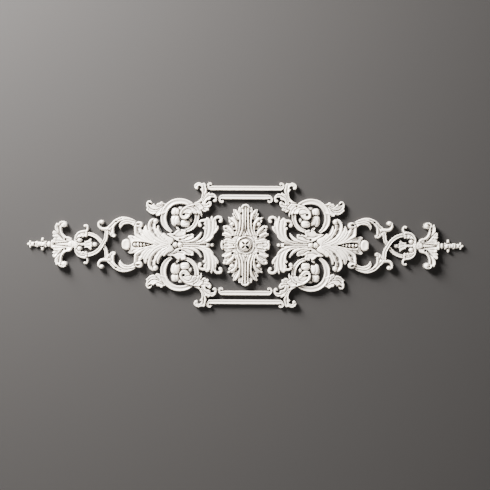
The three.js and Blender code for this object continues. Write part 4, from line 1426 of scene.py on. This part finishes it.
    def axis_string(self) -> list[Form]:
        """The string of beads and flowers on the axis."""
        return [
            Blade([(1.6, 0), (10, 0.1)], 0.8, self.string * 0.7),
            Knob((1.2, 0), (1.3, 1.3), self.string * 0.85),
            Blade([(3, 2.6), (3, -2.6)], [(0, 0.9), (0.3, 1.2), (0.7, 1.2), (1, 0.9)], self.string * 0.9),
            Knob((5.6, 0), (3, 2.1), self.string * 0.9, square=2.4),
            Knob((9.9, 0), (2.5, 2.9), self.string, seam=2.5, square=2.4),
            Knob((13.2, 0.1), (3.4, 2.2), self.string, seam=2),
            Blade([(15.4, 5.3), (15.4, -5.1)],
                  [(0, 1.3), (0.25, 1.5), (0.4, 2.6), (0.6, 2.6), (0.75, 1.5), (1, 1.3)],
                  self.string * 1.05, seam=2),
            Blade([(16.6, 0.7), (18.9, 2.5)], [(0, 1.8), (1, 0.7)], self.string),
            Knob((16.6, 0.1), (1.9, 1.9), self.string * 1.2, seam=2),
            Blade([(18, 0.1), (24, 0.1)], 1.4, self.string * 0.8),
            Knob((22, 0), (2.1, 3), self.string * 1.3, seam=3), Eye((7.4, 0), (0.8, 1.28), 8),
            Eye((3.3, 0.4), (0.8, 0.8), 3), Line([(10, 2.1), (10, -1.9)], 0.45, 5),
            Eye((15.4, 2.7), (1.42, 0.8), 8),
            Blade([(43.5, 0), (49, 0)], [(0, 3), (0.35, 4.4), (0.6, 3.8), (1, 2)], self.strand * 1.1,
                  section=Section.FLAT, seam=2),
            Line([(44.4, 3.2), (44.8, 0.2), (44.4, -3.8)], 0.5, 3),
            Blade([(47, -0.1), (57, -0.1)], [(0, 1.8), (0.5, 1.3), (1, 1.5)], self.tip),
            Knob((67.7, 0), (2.5, 2.3), self.bead, seam=5),
        ]

    def strand_path(self, side: int) -> list[Pair]:
        """The path of a strand that crosses the axis: side is 1 for the one that starts above it."""
        return [(x, z * side) for x, z in ((58, 11), (64, 10), (69.5, 7.4), (74, 2.8), (76.6, -1.6),
                                           (78.8, -5.6), (79.8, -14))]

    def husk(self) -> list[Form]:
        """The husk on the axis: a bud, a bead, a double-lined stem and a cup with a last bead."""
        return [
            Blade([(155, 0), (179, 0)], [(0, 1.7), (0.6, 1.6), (0.85, 2.8), (1, 3.1)], self.strand,
                  section=Section.CHANNEL, seam=5),
            Knob((181.6, 0), (2.3, 2.5), self.tip, seam=3, square=2.6),
            Knob((185.3, 0), (2, 2), self.bead, seam=5),
            Knob((148.2, -0.1), (3.3, 3.3), self.palmette * 0.8, seam=9, square=1.7),
            Line([(148.6, 2.3), (148.3, -2.7)], 0.45, 3),
            Knob((153.3, 0), (2.7, 2.6), self.leaf, seam=6, square=2.8),
        ]

    def slot(self) -> list[Form]:
        """The drilled slot in the palmette's middle, where the row of beads lies."""
        return [
            Line([(105.2, 0.5), (106.6, 3.6), (112, 4.1), (118, 3), (123.5, 1.7), (126, 0.4)], 0.75, -2),
            Line([(106.4, 0.9), (107.6, 2.2), (113, 2.3), (119, 1.5), (124.4, 0.2)], 1.05, 16),
            *(Eye((at, 0), (0.9, 1.9), 14) for at in (106.2, 109.5, 112.9, 116.1, 119.2)),
            Eye((124.7, 0), (1.76, 0.81), 12),
        ]

    def relief(self) -> Relief:
        """Works the whole arm.

        Returns:
            The finished grid.
        """
        half = Relief((-3, -9), (198, 66), self.pitch)
        half.add([*self.outer_leaf(), *self.rose()])
        ring = [(144.6, 13), (140.2, 16.6), (137, 22.7), (136.8, 29.8), (139.6, 37), (145.6, 42.2),
                (153.5, 43.8), (161.8, 41.8), (167.4, 36.9), (170.2, 29.9), (169, 22.4), (165, 17),
                (159, 14.2), (153, 14.8), (149.4, 17.6)]
        self.strap.along(half, ring, [(0, 1.2), (0.05, 2.2), (0.12, 3), (0.4, 2.9), (0.6, 2.4), (0.8, 2.1),
                                      (0.92, 1.4), (1, 0.7)], self.ring, 5)
        half.add([Eye((150.3, 18.8), (1.48, 1.08), 13), *self.corner_spray(), *self.folded_leaf(),
                  *self.husk_leaves(), *self.husk(), *self.big_leaf(), *self.palmette_half(), *self.slot()])
        self.beads.along(half, [(107.7, 0), (112.6, 0), (117.6, 0)], 4, [(0, 1.35), (1, 0.9)],
                         self.palmette * 0.72)
        half.add([*self.end_leaf(), *self.crescent(), *self.axis_string()])
        whole = half.mirrored(1)
        for side, depth, seam in ((1, self.strand, 3), (-1, self.crossing, 7)):
            self.strap.along(whole, self.strand_path(side), 1.8, depth, seam)
            whole.add([Line([(60.6, 12.8 * side), (60.9, 10.3 * side), (60.2, 7.5 * side)], 0.6, 8)])
        return whole


# the rosette


@dataclass
class Rosette:
    """The upright acanthus rosette. Its upper right quarter is mirrored across and down.

    Args:
        pitch: The grid's spacing, in millimetres.
        leaf: The leaves' depth, in millimetres.
        button: The button's depth, in millimetres.
    """

    pitch: float = 0.8
    leaf: float = 22.0
    button: float = 28.0

    def leaves(self) -> Leaf:
        """The ring of acanthus leaves, drawn as one outline."""
        return Leaf([
            [(-4.3, 36.8), (-3.9, 38.5), (-2.4, 40.7), (0, 41.1), (2.4, 40.7), (3.9, 38.5)],
            [(4.3, 36.8), (5, 38), (6.2, 38.2), (7.1, 36.2)],
            [(7.8, 33.9), (8.9, 34.9), (10.1, 35.9), (12.2, 35.7), (12, 33.1)],
            [(11.8, 31.9), (13.4, 31.4), (12.9, 30.1)],
            [(11.9, 28.6), (14.6, 28), (17.9, 27.9), (16.9, 25.5), (16.8, 23.4)],
            [(15.6, 21.3), (16.5, 20)],
            [(16.9, 17.8), (18.2, 19.4), (19.8, 20), (21.6, 18.1), (22.3, 15.9)],
            [(20.8, 14.1), (21.5, 12.4), (23.5, 9.9)], [(20.4, 8.3), (21.1, 7.1)],
            [(19.7, 6.4), (21.2, 5.4), (23.6, 4.3), (24.9, 2.6), (24.9, -2.6), (23.6, -4.3)],
            [(19.7, -6.4), (14, -12), (-6, -12), (-12, -6)],
        ], depth=[(0, self.leaf * 0.78), (0.5, self.leaf * 0.74), (1, self.leaf * 0.6)], end=(0, 38),
           radial=True, rim=3, dish=1.2)

    def ribs(self) -> list[Form]:
        """The soft ribs that fan out from the collar to the tips of the leaves."""
        ends = [(0, self.leaf * 0.86), (0.45, self.leaf * 1.04), (1, self.leaf * 0.72)]
        low = [(0, self.leaf * 0.84), (0.45, self.leaf * 0.94), (1, self.leaf * 0.74)]
        return [
            Blade([(10.8, 6.6), (15, 9.3), (19.4, 11.3), (22.5, 11)], [(0, 1.2), (0.5, 2), (1, 1)], low,
                  seam=2, blend=1),
            Blade([(11.2, 9.2), (12.8, 13), (15.8, 16.2), (19, 18), (20.9, 17.2)],
                  [(0, 1.2), (0.4, 1.8), (0.8, 2.2), (1, 1.5)], low, seam=2.5, blend=1),
            Blade([(10, 10.4), (8.7, 15.4), (9.2, 21), (12.4, 25.4), (16.4, 27.1)],
                  [(0, 1.3), (0.3, 1.3), (0.6, 1.9), (0.85, 1.9), (1, 0.9)], ends, seam=4, blend=1),
            Blade([(8, 10.4), (6, 16), (5.7, 24), (6.8, 30), (9.9, 34.6)],
                  [(0, 1.3), (0.3, 1.25), (0.6, 1.5), (0.85, 1.9), (1, 1.1)], ends, seam=4, blend=1),
            Blade([(5.6, 9.6), (3.4, 15), (2.75, 22), (2.7, 30), (2.5, 38)],
                  [(0, 1.2), (0.3, 1.1), (0.7, 1.15), (1, 1.4)], ends, seam=5, blend=1),
            Blade([(0, 12.6), (0, 22), (0, 32), (0, 39.4)], [(0, 0.3), (0.3, 0.75), (0.7, 0.9), (1, 1.3)],
                  ends, blend=0.8),
            Blade([(-3.5, 37.6), (-2.1, 39.5), (0, 40), (2.1, 39.5), (3.5, 37.6)], 1.15, self.leaf * 0.95,
                  seam=4, blend=1),
            Blade([(9, 0), (13, 0), (17, 0), (20.4, 0)], [(0, 2.2), (0.4, 3.4), (1, 4)], self.leaf * 0.9,
                  section=Section.ROLLED, seam=4, blend=1),
            Line([(11.5, 0), (17, 0), (22, 0)], 0.7, -2.2),
            Blade([(23, -3.6), (23.6, 0), (23, 3.6)], 1.25, self.leaf * 0.95, seam=3, blend=1),
            Knob((13.3, 20.9), (2.3, 2), self.leaf, seam=5),
            Knob((20.9, 18), (1.6, 1.5), self.leaf * 0.85, seam=3),
        ]

    def grooves(self) -> list[Form]:
        """The dark grooves, dimples and drilled eyes between the ribs."""
        return [
            Line([(1.5, 37), (1.35, 30), (1.25, 22), (0.8, 16.8), (0, 11.4)], 0.75, 7),
            Line([(4.3, 30.6), (4.4, 23.6), (5, 17.4), (7, 11.8)], 0.8, [(0, 8), (0.6, 6), (1, 2)]),
            Line([(7.4, 23), (7.4, 18.6), (8.6, 13.4)], 0.8, [(0, 8), (0.6, 5), (1, 2)]),
            Line([(11.9, 31.4), (9.6, 27.4), (8, 24.4)], 0.8, 5), Line([(7.9, 33.6), (6.4, 31.8)], 0.7, 5),
            Line([(17, 26), (13.4, 24.6)], 0.6, 3),
            Line([(16.3, 20.2), (14.4, 17.4), (12, 15.4)], 0.8, [(0, 6), (0.4, 3), (1, 4)]),
            Line([(20.6, 14.2), (17, 12.6), (13.6, 9.6)], 0.7, [(0, 6), (0.4, 2.5), (1, 4)]),
            Line([(20.8, 7.4), (16.4, 7), (12.6, 5.4)], 0.8, [(0, 6), (0.5, 3.5), (1, 5)]),
            Line([(19.3, 12.2), (16.4, 10.6)], 0.5, 1.8), Line([(17.6, 18.3), (15, 15.8)], 0.5, 1.8),
            Eye((11.6, 18), (1.3, 1.2), 7), Eye((18.6, 16.9), (1.2, 0.8), 4),
            Eye((14.6, 27), (1.1, 0.8), 3.5), Eye((18.6, 2.4), (1.8, 0.9), 3.5),
            Eye((4.1, 31.6), (1.2, 1.35), 20), Eye((7.1, 24.1), (1.15, 1.6), 20),
            Eye((10.6, 14.6), (1.5, 1.2), 20), Eye((12.8, 8.1), (1.5, 1.3), 20),
            Eye((11.2, 0), (1.1, 1.1), 18),
        ]

    def collar(self) -> list[Form]:
        """The squarish collar with its four darts, and the button with four slots."""
        return [
            Knob((0, 10.5), (0.95, 1.5), self.leaf * 1.1, seam=5),
            Knob((10.2, 0), (1.4, 0.9), self.leaf, seam=3),
            Knob((0, 0), (9.5, 9.5), self.leaf * 1.12, seam=6, square=2.5),
            Eye((3.7, 8.9), (0.8, 0.55), 7, turn=-20), Eye((8.9, 3.7), (0.55, 0.8), 5, turn=20),
            Eye((0, 0), (8.1, 8.1), 8), Knob((0, 0), (6, 6), self.button, seam=3),
            Eye((1.95, 1.95), (2.1, 1), 22, turn=45),
        ]

    def relief(self) -> Relief:
        """Works the whole rosette.

        Returns:
            The finished grid.
        """
        quarter = Relief((-10, -10), (27, 43), self.pitch)
        quarter.add([self.leaves(), *self.ribs(), *self.grooves(), *self.collar()])
        return quarter.mirrored(0).mirrored(1)


# the rails


@dataclass
class Rail:
    """A channelled rail with a small scroll at each end.

    Args:
        length: Its length, in millimetres.
        rise: The height of its middle above the long axis, in millimetres.
        curl: 1 where its scrolls turn up, -1 where they turn down.
        strap: What its channelled strap is grown with.
        pitch: The grid's spacing, in millimetres.
    """

    length: float
    rise: float
    curl: int
    strap: Strap
    pitch: float = 1.0

    def relief(self) -> Relief:
        """Works the rail's right half and mirrors it.

        Returns:
            The finished grid.
        """
        end, middle, half = self.length / 2 / MODULE, self.rise / MODULE, RAIL_WIDTH / 2 / MODULE
        turn = half * 1.15
        straight = end - turn * 2.2
        grid = Relief((-10, middle - 8), (end + 4, middle + 8), self.pitch)
        self.strap.along(grid, [(-9, middle), (0, middle), (straight + 0.2, middle)], half, RAIL_DEPTH)
        curl = [(end - turn * back, middle + turn * out * self.curl)
                for back, out in ((1, 0), (0.3, 0.6), (0.35, 1.5), (1.15, 1.9), (1.6, 1.3))]
        widths = [(t, half * share) for t, share in ((0, 1), (0.2, 0.9), (0.42, 0.5), (0.6, 0.4), (1, 0.38))]
        self.strap.along(grid, [(straight, middle), *curl], widths, RAIL_DEPTH)
        grid.add([Eye((end - turn, middle + turn * 1.1 * self.curl), (0.7, 0.7), 12)])
        return grid.mirrored(0)


# the studio


@dataclass(frozen=True)
class Studio:
    """A plain wall and floor, soft light from the upper left, and the camera.

    Args:
        wall: The wall's colour.
        floor: The floor's colour.
        lens: The camera's lens, in millimetres.
        roll: How far the camera is turned about its own line of sight, in degrees.
        aside: How far the camera stands beside and above the origin, in modules.
        ahead: How far before the wall its scale holds, in metres.
        lights: Each light's name, place in metres, size in metres, power in watts and colour.
    """

    wall: Colour = (0.0292, 0.0281, 0.0278, 1.0)
    floor: Colour = (0.2, 0.196, 0.19, 1.0)
    lens: float = 85.0
    roll: float = 0.29
    aside: Pair = (-0.4, 0.1)
    ahead: float = 0.016
    lights: tuple[tuple[str, Triple, float, float, Triple], ...] = (
        ("key", (-1.9, -1.5, 2.15), 1.1, 850, (1.0, 0.975, 0.945)),
        ("low_key", (-2.15, -0.95, 2.4), 1.3, 460, (1.0, 0.975, 0.945)),
        ("fill", (0.6, -3.6, 0.6), 2.5, 4, (0.98, 0.985, 1.0)),
        ("rear", (1.5, 2.6, 1.8), 2.0, 160, (1.0, 1.0, 1.0)),
    )

    @staticmethod
    def plane(name: str, middle: Vector, size: Pair, turn: Matrix,
              material: bpy.types.Material) -> bpy.types.Object:
        """A flat stage piece."""
        x, y = size[0] / 2, size[1] / 2
        corners = [middle + turn @ Vector(c) for c in ((-x, -y, 0), (x, -y, 0), (x, y, 0), (-x, y, 0))]
        mesh = bpy.data.meshes.new(name)
        mesh.from_pydata(corners, [], [(0, 1, 2, 3)])
        mesh.materials.append(material)
        piece = linked(name, mesh)
        return piece

    def one_sided(self) -> bpy.types.Material:
        """The wall's paint, which can be seen from the front only."""
        shader = Shader("wall_paint")
        shader.finish({"Base Color": self.wall, "Roughness": 0.9, "Specular IOR Level": 0.1})
        behind = shader.node("ShaderNodeNewGeometry").outputs["Backfacing"]
        mixed = shader.node("ShaderNodeMixShader", values={0: behind, 1: shader.surface,
                                                           2: shader.node("ShaderNodeBsdfTransparent")})
        shader.feed(shader.output.inputs[0], mixed)
        return shader.material

    def build(self) -> None:
        """Sets up the stage, the lights, the world and the camera."""
        wall = self.plane("wall", Vector((0, 0.0015, 0)), (7, 5), Matrix.Rotation(math.pi / 2, 3, "X"),
                          self.one_sided())
        wall.visible_shadow = False
        ground = Shader("floor_paint")
        ground.finish({"Base Color": self.floor, "Roughness": 0.8})
        self.plane("floor", Vector((0, 0, -1.0)), (12, 12), Matrix.Identity(3), ground.material)
        for name, at, size, power, colour in self.lights:
            data = bpy.data.lights.new(name, "AREA")
            data.size, data.energy, data.color = size, power, colour
            lamp = linked(name, data)
            lamp.location = at
            lamp.rotation_euler = (-Vector(at)).to_track_quat("-Z", "Y").to_euler()
        world = bpy.data.worlds.new("studio")
        world.use_nodes = True
        sky = world.node_tree.nodes["Background"].inputs
        sky[0].default_value, sky[1].default_value = (0.9, 0.9, 0.92, 1.0), 0.04
        bpy.context.scene.world = world
        self.camera()

    def camera(self) -> None:
        """Places the camera in front, at the distance where one module fills one pixel of the render."""
        data = bpy.data.cameras.new("camera")
        data.lens, data.sensor_width, data.clip_end = self.lens, SENSOR, 50
        distance = RENDER_PIXELS * MODULE * MM * self.lens / SENSOR
        camera = linked("camera", data)
        beside, above = (part * MODULE * MM for part in self.aside)
        place = Matrix.Translation((beside, -distance - self.ahead, above))
        roll = Matrix.Rotation(math.radians(self.roll), 4, "Z")
        camera.matrix_world = place @ Matrix.Rotation(math.pi / 2, 4, "X") @ roll
        bpy.context.scene.camera = camera


def dress(casting: Casting, material: bpy.types.Material) -> None:
    """Builds a finished casting, and gives it its material and its place in the frame."""
    piece, node = casting.build(), casting.node
    piece.data.materials.append(material)
    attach(piece, "root")
    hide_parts(node)


def main() -> None:
    """Builds every casting in order and dresses it."""
    logging.basicConfig(level=logging.INFO, format="%(name)s: %(message)s")
    Studio().build()
    plaster = PaintedPlaster().build("painted_plaster")
    coarse = 1.0
    hollow = Strap(Section.HOLLOW, plaster)
    arm = ScrollArm(hollow, Beads(plaster), coarse).relief()
    for side, turned in (("left", False), ("right", True)):
        dress(Casting(f"scrollwork_{side}", arm, -MIDDLE * MODULE, turned), plaster)
    dress(Casting("rosette", Rosette(pitch=0.8 * coarse).relief()), plaster)
    inner = OUTER_RAIL_RISE - RAIL_PITCH
    for name, length, rise, curl in (("top_outer", OUTER_RAIL_LENGTH, OUTER_RAIL_RISE, 1),
                                     ("top_inner", INNER_RAIL_LENGTH, inner, -1),
                                     ("bottom_inner", INNER_RAIL_LENGTH, -inner, 1),
                                     ("bottom_outer", OUTER_RAIL_LENGTH, -OUTER_RAIL_RISE, -1)):
        dress(Casting(f"rail_{name}", Rail(length, rise, curl, hollow).relief()), plaster)


if __name__ == "__main__":
    main()
